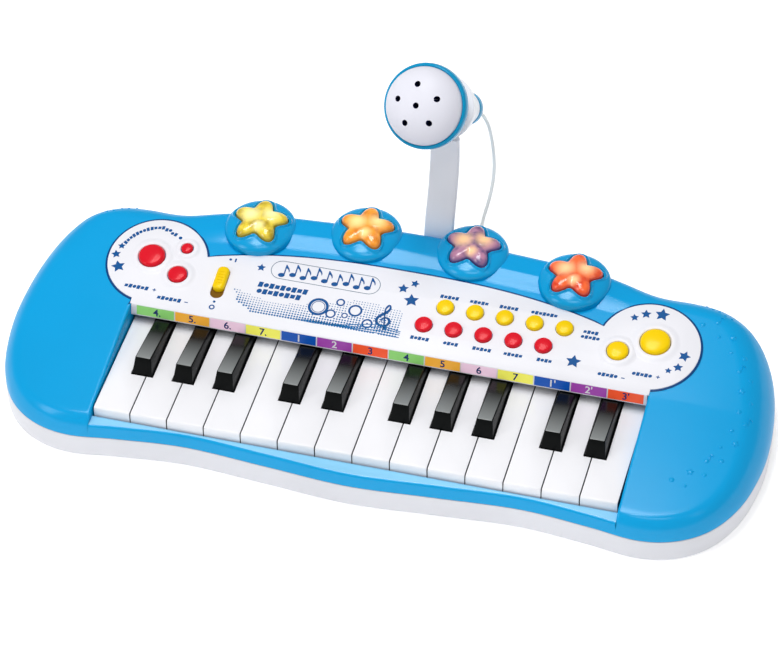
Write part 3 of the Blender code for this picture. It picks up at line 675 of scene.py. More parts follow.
def make_lower_case():
    made = bmesh.new()
    rim = PARTING - SEAM / 2
    profile = [(2.4, rim - 1.5), (2.4, rim), (0.25, rim), (0, rim - 0.25), (0.0, 9.0), (0.0, 3.0), (0.1, 1.6),
               (0.45, 0.75), (1.05, 0.2), (1.9, 0.0), (6.0, 0.0), (6.4, 0.15), (6.6, 0.9)]
    rings = [ring_at(made, offset_outline(OUTLINE, inset), z) for inset, z in profile]
    loft(made, rings)
    made.faces.new(rings[-1])
    finished(add_mesh("lower_shell", made, M["lower"], sharp=40), "case", "white_plastic", "bottom_case")


make_upper_case()
make_lower_case()


# ---------------------------------------------------------------- low relief on the cheeks

ARC_X, ARC_Y, ARC_RADIUS, ARC_STRETCH = 143.0, -8.0, 45.0, 1.18
RELIEF_LIFT = 0.4


def relief(made, x, y, points, height=RELIEF_LIFT):
    """A small raised shape that follows the cheek: a rim on the surface and a lifted middle."""
    rings = [[made.verts.new((px, py, cheek_surface_z(px, py) + lift))
              for px, py in [(x + a * share, y + b * share) for a, b in points]]
             for share, lift in ((1.0, -0.1), (0.72, height))]
    loft(made, rings)
    crown = made.verts.new((x, y, cheek_surface_z(x, y) + height * 1.25))
    for a, b in zip(rings[1], rings[1][1:] + rings[1][:1]):
        made.faces.new((a, b, crown))


def make_reliefs():
    """Stars, dots and quavers in an arc round the treble cheek, and dots behind both panel lobes."""
    made = bmesh.new()
    stem = [(-0.35, -2.2), (0.35, -2.2), (0.35, 2.2), (-0.35, 2.2)]
    flag = [(-1.0, -0.5), (1.0, -1.1), (1.0, -0.2), (-1.0, 0.5)]
    for k in range(21):
        degrees = -62 + 6.6 * k
        angle = math.radians(degrees)
        radius = ARC_RADIUS + (3.4 if k % 2 else -1.8) + 3.5 * smooth(-40, 40, degrees)
        x, y = ARC_X + radius * math.cos(angle), ARC_Y + ARC_STRETCH * radius * math.sin(angle)
        kind = ("large dot", "small dot", "star", "dot", "quaver")[k % 5]
        if kind == "star":
            relief(made, x, y, star_points(0, 0, 2.4, angle, 0.52), 0.45)
        elif kind == "quaver":
            relief(made, x, y, circle(0, 0, 1.5, 14), 0.45)
            relief(made, x + 1.25, y + 2.4, stem)
            relief(made, x + 2.1, y + 4.1, flag)
        else:
            size = {"large dot": 1.5, "small dot": 1.1, "dot": 1.3}[kind]
            relief(made, x, y, circle(0, 0, size, 14))
    for k in range(5):
        for side in (-1, 1):
            y = 61.0 - 1.9 * k - (0.8 if k % 2 else 0)
            relief(made, side * (158.0 + 3.7 * k), y, circle(0, 0, 0.8, 14), 0.35)
    finished(add_mesh("cheek_reliefs", made, M["blue"], sharp=50), "case", "blue_shell")


make_reliefs()


# ---------------------------------------------------------------- control panel

PANEL_MATRIX = Matrix.Translation((0, PANEL_FRONT, PANEL_FRONT_Z)) @ Matrix.Rotation(TILT, 4, "X")

BIG_BUTTONS = [
    ("volume_up_button", -138.2, 31.6, 7.2, 3.0, "red"),
    ("volume_down_button", -121.1, 22.6, 5.2, 2.4, "red"),
    ("sound_button", -120.9, 40.2, 3.2, 2.0, "red"),
    ("tempo_down_button", 119.3, 23.2, 5.7, 2.4, "yellow"),
    ("tempo_up_button", 137.3, 32.7, 8.0, 3.0, "yellow"),
]
VOICE_ROW = (24.4, 31.6, 16.15)
RHYTHM_ROW = (15.9, 18.5, 16.18)
ROW_RADIUS, ROW_DOME = 4.7, 2.2
ROW_BUTTONS = [
    (f"{row}_button_{i + 1}", start + i * step, v, ROW_RADIUS, ROW_DOME, finish)
    for i in range(5)
    for row, (start, v, step), finish in (("voice", VOICE_ROW, "yellow"), ("rhythm", RHYTHM_ROW, "red"))
]
BUTTONS = BIG_BUTTONS + ROW_BUTTONS
BUTTON_GAP = 0.28
SWITCH_X, KNOB_V, SLOT_V = -97.3, 24.6, 22.45
SLOT_HALF, SLOT_ROUND = 6.6, 3.65


def panel_outline(grow=0.0):
    radius = LOBE_RADIUS + grow
    low = -math.pi / 2 + 0.24
    high = math.pi - math.asin((BACK_V - BACK_DROP + grow - LOBE_V) / radius)
    points = [(PANEL_HALF + grow, -grow)]
    points += arc(LOBE_X, LOBE_V, radius, math.degrees(low), math.degrees(high), 60)
    for x in range(104, -4, -4):
        points.append((x, BACK_V + grow - BACK_DROP * (x / NOTCH_X) ** BACK_POWER))
    return points + [(-x, v) for x, v in points[-2::-1]]


def make_panel():
    """The panel's plate with its holes, and a soft raised ring round each large button."""
    plate = bmesh.new()
    rings = [ring_at(plate, panel_outline(grow), height)
             for grow, height in ((0.0, -0.8), (0.0, -0.3), (-0.09, -0.09), (-0.3, 0.0))]
    loft(plate, rings)
    plate.faces.new(rings[-1])
    plate.faces.new(rings[0][::-1])
    cutter = bmesh.new()
    for _, x, v, radius, _, _ in BUTTONS:
        add_drill(cutter, x, v, 0, radius + BUTTON_GAP, 12, 48)
    slot = arc(0, SLOT_HALF, SLOT_ROUND, 0, 180, 12) + arc(0, -SLOT_HALF, SLOT_ROUND, 180, 360, 12)
    extrude_outline(cutter, [(SWITCH_X + a, SLOT_V + b) for a, b in slot], -6, 6)
    panel = cut_away(plate, cutter, M["panel"])
    for _, x, v, radius, _, _ in BIG_BUTTONS:
        outer = radius + 1.8
        reach = 1.6 + radius * 0.25
        profile = [(radius + 0.3, 0.2), (radius + 0.5, 0.75), (radius + 1.0, 1.0), (outer, 0.96)]
        profile += [(outer + reach * s, 0.96 * (1 - smooth(0, 1, s)) + 0.02)
                    for s in (0.2, 0.4, 0.6, 0.8, 1.0)]
        ring = bmesh.new()
        revolve(ring, profile, 64)
        bmesh.ops.translate(ring, vec=(x, v, 0), verts=ring.verts)
        join(panel, ring)
    piece = add_mesh("panel", panel, M["panel"], PANEL_MATRIX, sharp=38, recalc=False)
    finished(piece, "case", "white_plastic", "control_panel")


def make_label_lip():
    """A thin bent strip from the panel's front edge down to just above the keys."""
    lean, drop = LIP_LEAN, LIP_DROP
    side = [(1.4, -0.02), (0.3, -0.02), (-0.1, -0.12), (-0.35, -0.45)]
    side += [(-0.35 - (lean - 0.35) * s, -0.45 - (drop - 0.85) * s) for s in (0.25, 0.5, 0.75, 1.0)]
    side += [(0.05 - lean, 0.1 - drop), (0.35 - lean, -drop), (2.0 - lean, -drop), (2.2 - lean, 0.4 - drop),
             (2.0, -1.6)]
    half = WELL_HALF - 0.4
    lip = bmesh.new()
    xs = (-half, -half + 0.3, 0, half - 0.3, half)
    rows = strip_between(lip, [[(x, y, z) for y, z in side] for x in xs])
    lip.faces.new(rows[0])
    lip.faces.new(rows[-1][::-1])
    add_trim("label_lip", lip, M["panel"], Matrix.Translation((0, PANEL_FRONT, PANEL_FRONT_Z)), 40)


def make_panel_surround():
    """A narrow dark ribbon round the panel that paints the shadow line of its gap, and the switch's skirt
    seen through its slot, in a darker yellow that paints its shade.
    """
    gap = bmesh.new()
    inner, outer = ring_at(gap, panel_outline(-0.1), -0.5), ring_at(gap, panel_outline(1.15), -0.72)
    for i in range(1, len(inner) - 1):
        gap.faces.new((inner[i], outer[i], outer[i + 1], inner[i + 1]))
    finished(add_mesh("panel_gap_painted_shadow", gap, M["edge"], PANEL_MATRIX), "case", "blue_shell")
    skirt = bmesh.new()
    # The skirt's dark yellow paints the shade under the panel.
    flat_box(skirt, SWITCH_X, SLOT_V + 2.25, 4.5, 13.25, -0.85)
    finished(add_mesh("switch_skirt_painted_shade", skirt, M["skirt"], PANEL_MATRIX), "power_knob", "yellow_button")


# ---------------------------------------------------------------- prints

STARS = (
    (-156.3, 35.0, 1.7, 10), (-157.7, 29.2, 2.1, 20), (-154.2, 21.6, 3.0, 25), (-78.4, 36.7, 1.9, 5),
    (-0.5, 39.1, 2.3, 8), (4.9, 43.4, 1.9, -10), (5.6, 32.5, 3.2, 12), (98.1, 12.2, 3.2, 0),
    (123.3, 46.2, 1.8, 15), (128.8, 49.6, 2.2, 10), (137.2, 50.9, 3.1, 0), (153.9, 27.4, 2.6, -15),
    (152.1, 19.8, 2.1, 10), (147.6, 16.8, 1.5, 5),
)
STAR_GROWTH = 1.32
RINGS = ((-41.7, 18.2, 4.1, 5.6), (-34.2, 15.2, 1.9, 2.8), (-21.8, 19.8, 2.7, 3.8), (-13.6, 13.0, 2.0, 3.0),
         (-26.6, 15.6, 1.1, 1.8), (-30.8, 23.4, 1.5, 2.4))
WAVE_LOW = ((-88.5, 19.5), (-84.5, 12.5), (-74.5, 6.8), (-54.5, 8.0), (-31, 7.2), (-7.5, 8.0), (4.8, 6.6))
WAVE_HIGH = ((-88.5, 20.5), (-66, 15.8), (-48, 18.6), (-20.5, 27.0), (4.8, 24.3))
DOT_PITCH = 1.5
PRINT_MATRIX = PANEL_MATRIX @ Matrix.Translation((0, 0, 0.05))


def along_line(knots, x):
    """Height of a line through a few knots, eased between them."""
    for (x0, y0), (x1, y1) in zip(knots, knots[1:]):
        if x <= x1:
            return y0 + (y1 - y0) * (0.5 * (x - x0) / (x1 - x0) + 0.5 * smooth(x0, x1, x))
    return knots[-1][1]


def marks(made, x, v, count, size=1.0, turn=0.0, first=0):
    """A short row of blocks and discs that stands where a caption would be."""
    half, tall = 0.82 * size, 1.12 * size
    block = [(-half, -tall), (half, -tall), (half, tall), (-half, tall)]
    square = [(-half, -half), (half, -half), (half, half), (-half, half)]
    shapes = (block, square, block, circle(0, 0, 1.15 * half, 14))
    for k in range(count):
        middle = (k - (count - 1) / 2) * 2.05 * size
        outline = []
        for a, b in shapes[(k + first) % 4]:
            a += middle + 0.12 * b
            outline.append((x + a * math.cos(turn) - b * math.sin(turn),
                            v + a * math.sin(turn) + b * math.cos(turn)))
        flat_polygon(made, outline)


def note(made, x, v, size):
    """A quaver: an oval head, a stem and a flag."""
    turns = [math.tau * k / 20 for k in range(20)]
    head = [(0.48 * math.cos(t) - 0.1 * math.sin(t), 0.36 * math.sin(t) + 0.1 * math.cos(t)) for t in turns]
    stem = [(0.26, 0), (0.46, 0), (0.46, 1.9), (0.26, 1.9)]
    flag = [(0.4, 1.9), (0.4, 1.35), (0.75, 1.1), (0.98, 0.62), (1.02, 0.95), (0.88, 1.3)]
    for shape, height in ((head, 0.0), (stem, 0.001), (flag, 0.0)):
        flat_polygon(made, [(x + size * a, v + size * b) for a, b in shape], height)


def treble_clef(made, x, v, size):
    """One stroke from the clef's foot up through its loop and round its curl, each point with a width."""
    line = ((0.24, -1.05, 0.12), (0.16, -0.4, 0.13), (0.02, 0.4, 0.13), (-0.08, 1.0, 0.14), (0.06, 1.42, 0.2),
            (0.22, 1.5, 0.16), (0.3, 1.2, 0.2), (0.12, 0.8, 0.26), (-0.3, 0.4, 0.28), (-0.56, 0.02, 0.26),
            (-0.5, -0.4, 0.24), (-0.12, -0.66, 0.22), (0.34, -0.58, 0.22), (0.56, -0.22, 0.24),
            (0.42, 0.12, 0.22), (0.1, 0.2, 0.16), (-0.16, 0.0, 0.14), (-0.12, -0.28, 0.08))
    dense = spline_through(line, 6)
    ribbon(made, [Vector((x + p[0] * size, v + p[1] * size)) for p in dense], [p[2] * size for p in dense])


def print_captions(made):
    for i in range(5):
        if i < 4:
            shift = 3.0 if i == 3 else 0
            marks(made, VOICE_ROW[0] + 0.6 + i * VOICE_ROW[2] + shift, 38.5, (5, 5, 5, 7)[i], first=i)
        marks(made, RHYTHM_ROW[0] + i * 16.8, 9.6, (5, 4, 5, 5, 4)[i], first=i + 2)
    marks(made, 103.0, 32.0, 4, first=1)
    marks(made, 103.4, 28.7, 5, first=3)
    # The caption that curves round the bass lobe
    for k in range(8):
        degrees = 156 - 11.1 * k
        angle, reach = math.radians(degrees), 21.7 - 2.7 * smooth(0, 24, 100 - degrees)
        marks(made, reach * math.cos(angle) - LOBE_X, LOBE_V + reach * math.sin(angle), 2,
              turn=angle - math.pi / 2, first=k)
    for x, v, radius in ((-126.6, 46.6, 1.0), (-124.7, 44.7, 0.75), (-123.2, 42.9, 0.65)):
        flat_polygon(made, circle(x, v, radius))
    for x, v, count, size, first in ((-140.6, 10.6, 6, 1.1, 1), (-121.2, 6.5, 6, 1.1, 1),
                                     (117.4, 7.5, 5, 1.05, 3), (134.8, 11.5, 5, 1.05, 3)):
        marks(made, x, v, count, size, first=first)
    for x, v, plus in ((-130.6, 10.6, True), (-111.6, 6.3, False), (125.6, 7.3, False), (143.2, 11.7, True)):
        flat_box(made, x, v, 0.95, 0.28)
        if plus:
            flat_box(made, x, v, 0.28, 0.95, 0.001)


def print_switch_marks(made):
    """A bar at the switch's on end and a ring at its off end, with a dot by each."""
    for x, v in ((-96.0, 38.4), (-97.0, 9.9)):
        flat_polygon(made, circle(x, v, 0.75))
    flat_box(made, -93.15, 38.4, 0.45, 1.2)
    annulus(made, -97.3, 6.2, 0.85, 1.6)


def print_title(made):
    """Rings, a clef, a row of quavers and two rows of blocks under them."""
    for x, v, inner, outer in RINGS:
        annulus(made, x, v, inner, outer)
    annulus(made, *RINGS[0][:2], 3.3, 3.7)
    for x, v, radius in ((-13.6, 13.0, 0.5), (-3.9, 12.0, 1.0)):
        flat_polygon(made, circle(x, v, radius))
    treble_clef(made, -5.8, 17.4, 6.2)
    for k, step in enumerate((0.0, 1.2, 0.4, 1.6, 0.8, 0.0, 1.4, 0.5, 1.2)):
        note(made, -66.6 + 5.9 * k, 34.2 + step, 3.7)
    marks(made, -63.4, 26.0, 9, 1.5, first=2)
    marks(made, -64.6, 21.7, 8, 1.5, first=3)


def make_prints():
    made = bmesh.new()
    for x, v, size, turn in STARS:
        flat_polygon(made, star_points(x, v, size * STAR_GROWTH, math.radians(90 + turn)))
    print_captions(made)
    print_switch_marks(made)
    print_title(made)
    add_trim("panel_print", made, M["print"], PRINT_MATRIX)
    # The thin rounded frame round the notes
    frame_line = bmesh.new()
    middle_x, middle_v, straight, radius = -42.9, 37.5, 24.2, 5.8
    line = arc(straight, 0, radius, -90, 90, 16) + arc(-straight, 0, radius, 90, 270, 16)
    line = [Vector((middle_x + a, middle_v + b)) for a, b in line + line[:1]]
    ribbon(frame_line, line, [0.34] * len(line))
    add_trim("panel_frame_line", frame_line, M["hairline"], PRINT_MATRIX)


def make_dots():
    """The dotted wave under the title, whose dots swell towards its lower edge, and four long strokes."""
    dots = bmesh.new()
    for column in range(int((WAVE_LOW[-1][0] - WAVE_LOW[0][0]) / DOT_PITCH)):
        x = WAVE_LOW[0][0] + column * DOT_PITCH
        low, high = along_line(WAVE_LOW, x), along_line(WAVE_HIGH, x)
        for row in range(28):
            v = 2.0 + row * DOT_PITCH
            if not low < v < high or any(math.hypot(x - a, v - b) < r + 0.35 for a, b, _, r in RINGS):
                continue
            size = 0.3 + 0.34 * (1 - (v - low) / (high - low)) ** 1.3
            flat_polygon(dots, circle(x, v, size, 8))
    for k in range(4):
        line = []
        for x in [-52 + 57 * j / 60 for j in range(61)]:
            rise = 0.3 + (0.5 + 1.5 * k) * smooth(-52, 0, x) + 0.5 * math.sin(x / 6.0 + k)
            line.append(Vector((x, along_line(WAVE_LOW, x) + rise)))
        ribbon(dots, line, [0.45 * smooth(-52, -40, point.x) + 0.05 for point in line], 0.002)
    add_trim("panel_dots", dots, M["dots"], PRINT_MATRIX)


# ---------------------------------------------------------------- key labels

LABELS_LEFT, LABEL_PITCH, LABEL_HEIGHT, LABEL_GAP = -135.6, 19.6, 5.9, 0.35
LABEL_GLOW = 0.16
LABEL_HUES = ((148, 220, 120), (255, 184, 62), (255, 218, 240), (255, 252, 104), (4, 84, 184),
              (164, 70, 176), (255, 92, 50))
DARK_HUES = (4, 5)
LABEL_TEXT = ("4.", "5.", "6.", "7.", "1", "2", "3", "4", "5", "6", "7", "1'", "2'", "3'")


def make_labels():
    """Coloured squares along the lip, one over each white key, with a number on each."""
    slope = math.atan2(LIP_LEAN - 0.35, LIP_DROP - 0.85)
    face = (Matrix.Translation((0, PANEL_FRONT - 0.35, PANEL_FRONT_Z - 0.45))
            @ Matrix.Rotation(math.pi / 2 - slope, 4, "X"))
    hues = []
    for k, hue in enumerate(LABEL_HUES):
        hues.append(plastic(f"label_{k + 1}", linear(*hue), 0.35, 0.35, grain=0.0))
        # The labels' faint glow is painted light, as they are no lamps.
        set_inputs(hues[-1].node_tree.nodes["Principled BSDF"], Emission_Color=linear(*hue),
                   Emission_Strength=LABEL_GLOW)
    inks = (plastic("label_ink_dark", linear(16, 52, 118), 0.4, 0.3, grain=0.0),
            plastic("label_ink_white", linear(246, 246, 250), 0.4, 0.3, grain=0.0))
    squares, digits = bmesh.new(), bmesh.new()
    for i, text in enumerate(LABEL_TEXT):
        hue = i % len(LABEL_HUES)
        start = LABELS_LEFT + LABEL_PITCH * i
        left, right = start - (1.9 if i == 0 else 0) + LABEL_GAP, start + LABEL_PITCH - LABEL_GAP
        flat_polygon(squares, [(left, -LABEL_HEIGHT), (right, -LABEL_HEIGHT), (right, -0.15), (left, -0.15)],
                     0.05, hue)
        add_digit(digits, text, start + LABEL_PITCH / 2, 1 if hue in DARK_HUES else 0)
    add_trim("labels", squares, hues, face)
    add_trim("label_digits", digits, inks, face)


def add_digit(made, text, x, material):
    curve = bpy.data.curves.new("digit", "FONT")
    curve.body = text
    curve.size = LABEL_HEIGHT
    curve.align_x = "CENTER"
    curve.offset = 0.12
    holder = link_object("digit", curve)
    flat = evaluated_mesh(holder)
    flat.transform(Matrix.Translation((x, -5.0, 0.09)))
    before = len(made.faces)
    made.from_mesh(flat)
    made.faces.ensure_lookup_table()
    for face in made.faces[before:]:
        face.material_index = material
    bpy.data.objects.remove(holder, do_unlink=True)
    bpy.data.meshes.remove(flat)


make_panel()
make_label_lip()
make_panel_surround()
make_prints()
make_dots()
make_labels()


# ---------------------------------------------------------------- keys

WHITE_COUNT, PITCH, KEY_GAP, KEY_LENGTH, KEY_DEPTH = 14, 20.0, 0.6, 96.0, 8.0
BLACK_START, BLACK_BASE, BLACK_SHARE, BLACK_HEIGHT, BLACK_CLEARANCE = 28.8, 11.0, 0.77, 9.5, 0.6
BLACK_BOUNDARIES = ((1, -2.4), (2, 0.0), (3, 2.3), (5, -1.8), (6, 1.6), (8, -2.4), (9, 0.0), (10, 2.3),
                    (12, -1.8), (13, 1.6))


def key_x(boundary):
    return (boundary - WHITE_COUNT / 2) * PITCH


BLACK_CENTRES = [key_x(boundary) + offset for boundary, offset in BLACK_BOUNDARIES]


def round_edges(made, edges, radius, segments):
    bmesh.ops.bevel(made, geom=edges, offset=radius, segments=segments, profile=0.5, affect="EDGES")


def make_white_keys():
    half_black = BLACK_BASE / 2 + BLACK_CLEARANCE
    step, rear = KEY_FRONT + BLACK_START - BLACK_CLEARANCE, KEY_FRONT + KEY_LENGTH
    for index in range(WHITE_COUNT):
        left, right = key_x(index) + KEY_GAP / 2, key_x(index + 1) - KEY_GAP / 2
        rear_left, rear_right = left, right
        for centre in BLACK_CENTRES:
            if centre - half_black < left < centre + half_black:
                rear_left = centre + half_black
            if centre - half_black < right < centre + half_black:
                rear_right = centre - half_black
        outline = [(left, KEY_FRONT), (right, KEY_FRONT), (right, step), (rear_right, step),
                   (rear_right, rear), (rear_left, rear), (rear_left, step), (left, step)]
        outline = [p for i, p in enumerate(outline) if p != outline[i - 1]]
        made = bmesh.new()
        extrude_outline(made, outline, KEY_TOP - KEY_DEPTH, KEY_TOP)
        front_top = [e for e in made.edges if all(abs(v.co.y - KEY_FRONT) < 0.01 for v in e.verts)
                     and all(abs(v.co.z - KEY_TOP) < 0.01 for v in e.verts)]
        round_edges(made, front_top, 0.9, 4)
        top = [e for e in made.edges if all(v.co.z > KEY_TOP - 1.6 for v in e.verts)
               and e.calc_face_angle(0) > math.radians(50)]
        round_edges(made, top, 0.32, 2)
        # Large side faces take a grey that paints the shade in the gaps between keys.
        for face in made.faces:
            if abs(face.normal.x) > 0.98 and face.calc_area() > 20:
                face.material_index = 1
        name = f"white_key_{index + 1:02d}"
        key = add_mesh("ivory_" + name, made, [M["ivory"], M["ivory_side_painted_shade"]], sharp=30)
        finished(key, name + "_lever", "white_key", name)


def make_black_keys():
    side = ((BLACK_START, -KEY_DEPTH), (BLACK_START, 1.0), (32.2, BLACK_HEIGHT), (66.0, 4.6), (72.0, 0.0),
            (KEY_LENGTH, 0.0), (KEY_LENGTH, -KEY_DEPTH))
    for index, centre in enumerate(BLACK_CENTRES):
        made = bmesh.new()
        extrude_face(made, [made.verts.new((-BLACK_BASE / 2, y, z)) for y, z in side], (BLACK_BASE, 0, 0))
        for vert in made.verts:
            if vert.co.z > 1.5:
                vert.co.x *= BLACK_SHARE
        bmesh.ops.recalc_face_normals(made, faces=made.faces)
        round_edges(made, [e for e in made.edges if any(v.co.z > 1.5 for v in e.verts)
                           and e.calc_face_angle(0) > math.radians(25)], 0.7, 4)
        bmesh.ops.translate(made, vec=(centre, KEY_FRONT, KEY_TOP), verts=made.verts)
        # Top faces take the black key top, whose grey towards the front is a painted reflection.
        for face in made.faces:
            if face.normal.z > 0.9 and face.calc_center_median().z > KEY_TOP + 1:
                face.material_index = 1
        name = f"black_key_{index + 1:02d}"
        key = add_mesh("ebony_" + name, made, [M["ebony"], M["ebony_top_painted_reflection"]], sharp=30)
        finished(key, name + "_lever", "black_key", name)


# ---------------------------------------------------------------- buttons and switch

def make_buttons():
    """Domed caps: a nearly flat crown that turns down to a straight side."""
    for name, x, v, radius, dome, finish in BUTTONS:
        edge = 0.9 if radius > 4 else 0.6
        profile = [(0.0, dome)]
        for s in (0.12, 0.25, 0.38, 0.5, 0.6, 0.7, 0.78):
            bulge = 0.25 + 0.75 * math.sqrt(1 - (s / 1.04) ** 2)
            profile.append((radius * s, edge + (dome - edge) * bulge))
        start, shoulder = profile[-1]
        for a in (math.radians(degrees) for degrees in (20, 40, 60, 75, 90)):
            profile.append((start + (radius - start) * math.sin(a),
                            edge * 0.4 + (shoulder - edge * 0.4) * math.cos(a)))
        profile.append((radius, -4.0))
        made = bmesh.new()
        revolve(made, profile, 56)
        place = PANEL_MATRIX @ Matrix.Translation((x, v, 0))
        button = add_mesh("cap_" + name, made, M[finish], place, sharp=60)
        finished(button, name + "_plunger", finish + "_button", name)


def make_switch():
    """A long rounded thumb piece with five grip ribs."""
    made = bmesh.new()
    half_x, half_v, top = 3.3, 7.6, 2.6
    rings = []
    for inset, height in ((0.0, -3.0), (0.0, 1.2), (0.2, 1.8), (0.7, 2.3), (1.4, 2.55), (2.2, top)):
        a, b = half_x - inset, half_v - inset
        rings.append(ring_at(made, rounded_box(a, b, max(min(a, 2.9 - inset), 0.4), 6), height))
    loft(made, rings)
    made.faces.new(rings[-1])
    for k in range(5):
        add_bar(made, Matrix.Translation((0, -3.6 + 1.8 * k, top + 0.05)), (3.4, 0.55, 0.4))
    place = PANEL_MATRIX @ Matrix.Translation((SWITCH_X, KNOB_V, 0))
    knob = add_mesh("switch_knob", made, M["yellow"], place, sharp=40)
    finished(knob, "power_knob", "yellow_button", "power_switch")


make_white_keys()
make_black_keys()
make_buttons()
make_switch()


# ---------------------------------------------------------------- lamps

PODS = ((-86.2, 56.2, 51.9), (-29.2, 64.2, 52.3), (29.6, 64.2, 52.3), (87.2, 56.2, 51.9))
POD_RADIUS, POD_RISE, POD_DEPTH = 19.4, 6.6, 16.0
POD_TILT = math.radians(3.5)
RIM_SHARE, POD_BEND = 0.55, 0.9
BEAD_REACH, BEAD_WIDTH, BEAD_RISE = 1.3, 0.55, 1.1
STAR_TIP, STAR_WAIST, STAR_PROUD = 15.0, 9.3, 2.6
LAMP_SIDES, POD_RINGS, STAR_RINGS = 160, 44, 22
LAMP_COLOURS = (
    ("lime", (232, 206, 58), (168, 140, 16), (255, 246, 170)),
    ("orange", (244, 160, 48), (214, 120, 8), (255, 226, 150)),
    ("purple", (176, 122, 150), (74, 60, 112), (255, 206, 150)),
    ("red", (236, 100, 44), (206, 52, 14), (255, 206, 150)),
)
HOT_SPOTS = ((-5.0, 1.0, 8.0), (5.5, 3.5, 7.5), (1.0, -6.0, 5.0))
ANGLES = [math.tau * k / LAMP_SIDES for k in range(LAMP_SIDES)]


def arm_share(angle):
    """1 along each of the star's five arms and 0 between them."""
    return 0.5 + 0.5 * math.cos(5 * (angle - math.pi / 2))


def star_radius(angle):
    return STAR_WAIST + (STAR_TIP - STAR_WAIST) * arm_share(angle) ** 0.9


def pod_height(radius, proud=0.0, drop=0.0):
    reach, rise = POD_RADIUS + proud, POD_RISE + proud - drop
    return rise * math.sqrt(max(1 - (radius / reach) ** 2, 0))


def turned(made, angle, radius, height):
    return made.verts.new((radius * math.cos(angle), radius * math.sin(angle), height))


def lowered(made, ring, depth):
    return [made.verts.new((v.co.x, v.co.y, v.co.z - depth)) for v in ring]


def pod_point(made, angle, share):
    """From the star's well out over the bead to the pod's rim, then down its side into the case."""
    if share >= RIM_SHARE:
        down = POD_BEND * (share - RIM_SHARE) / (1 - RIM_SHARE)
        return turned(made, angle, POD_RADIUS * math.cos(down), -POD_DEPTH * math.sin(down))
    well = star_radius(angle) + 0.5
    radius = well + (POD_RADIUS - well) * share / RIM_SHARE
    bead = (radius - well - BEAD_REACH) / BEAD_WIDTH
    height = pod_height(radius) + BEAD_RISE * math.exp(-bead * bead) * smooth(0, 1.2, POD_RADIUS - radius)
    return turned(made, angle, radius, height - (0.5 if share == 0 else 0))


def star_point(made, angle, share):
    """A puffed lens with a soft ridge down each arm."""
    across = math.sin(share * math.pi / 2)
    radius = star_radius(angle) * across ** 0.9
    puff = math.sqrt(max(1 - across ** 5, 0))
    arm = arm_share(angle)
    swell = math.sin(math.pi * share) * smooth(0.1, 0.7, share)
    height = pod_height(radius, STAR_PROUD, 1.6)
    height += 1.5 * puff + (0.5 * arm - 0.45 * (1 - arm)) * swell - 0.9 * (1 - puff)
    return turned(made, angle, radius, height)


def make_pod(index, place):
    made = bmesh.new()
    rows = [[pod_point(made, angle, j / POD_RINGS) for angle in ANGLES] for j in range(POD_RINGS + 1)]
    loft(made, [lowered(made, rows[0], 3)] + rows)
    finished(add_mesh(f"pod_{index + 1}", made, M["pod"], place, sharp=50), "case", "blue_shell")


def make_star(index, place):
    made = bmesh.new()
    edge = made.verts.layers.float.new("share")
    rows = [[star_point(made, angle, j / STAR_RINGS) for angle in ANGLES] for j in range(STAR_RINGS + 1)]
    rows.append(lowered(made, rows[-1], 4))
    for j, row in enumerate(rows):
        for vert in row:
            vert[edge] = min(j / STAR_RINGS, 1.0)
    loft(made, rows)
    bmesh.ops.remove_doubles(made, verts=rows[0], dist=0.01)
    spots = [(*(place @ Vector((dx, dy, 8.0))), reach) for dx, dy, reach in HOT_SPOTS]
    colour, *hues = LAMP_COLOURS[index]
    glow = glowing(f"lens_{index + 1}", *(linear(*hue) for hue in hues), spots)
    star = add_mesh(f"star_{index + 1}", made, glow, place, sharp=70)
    finished(star, "case", "lens_" + colour, f"star_lens_{index + 1}")


for lamp, lamp_centre in enumerate(PODS):
    lamp_place = Matrix.Translation(lamp_centre) @ Matrix.Rotation(POD_TILT, 4, "X")
    make_pod(lamp, lamp_place)
    make_star(lamp, lamp_place)


# ---------------------------------------------------------------- underside and inner parts

BASE_Z = 0.9
FEET = ((-150, -62), (150, -62), (-150, 58), (150, 58))
SCREWS = ((-186, 20), (186, 20), (-100, -66), (100, -66), (-60, 66), (60, 66))
SPEAKER_X, SPEAKER_Y = -172.0, -13.3
DOOR_HALF_X, DOOR_FRONT, DOOR_BACK, DOOR_FACE = 29.7, 27.3, 68.7, 0.4
SKIN, HAIR = 0.03, 0.01


def add_post(made, x, y, radius, low, high, sides, round_off):
    """A short upright post, rounded at its lower end."""
    post = bmesh.new()
    revolve(post, [(0.0, low), (radius - round_off, low), (radius - 0.3 * round_off, low + 0.3 * round_off),
                   (radius, low + round_off), (radius, high)], sides)
    bmesh.ops.translate(post, vec=(x, y, 0), verts=post.verts)
    join(made, post)


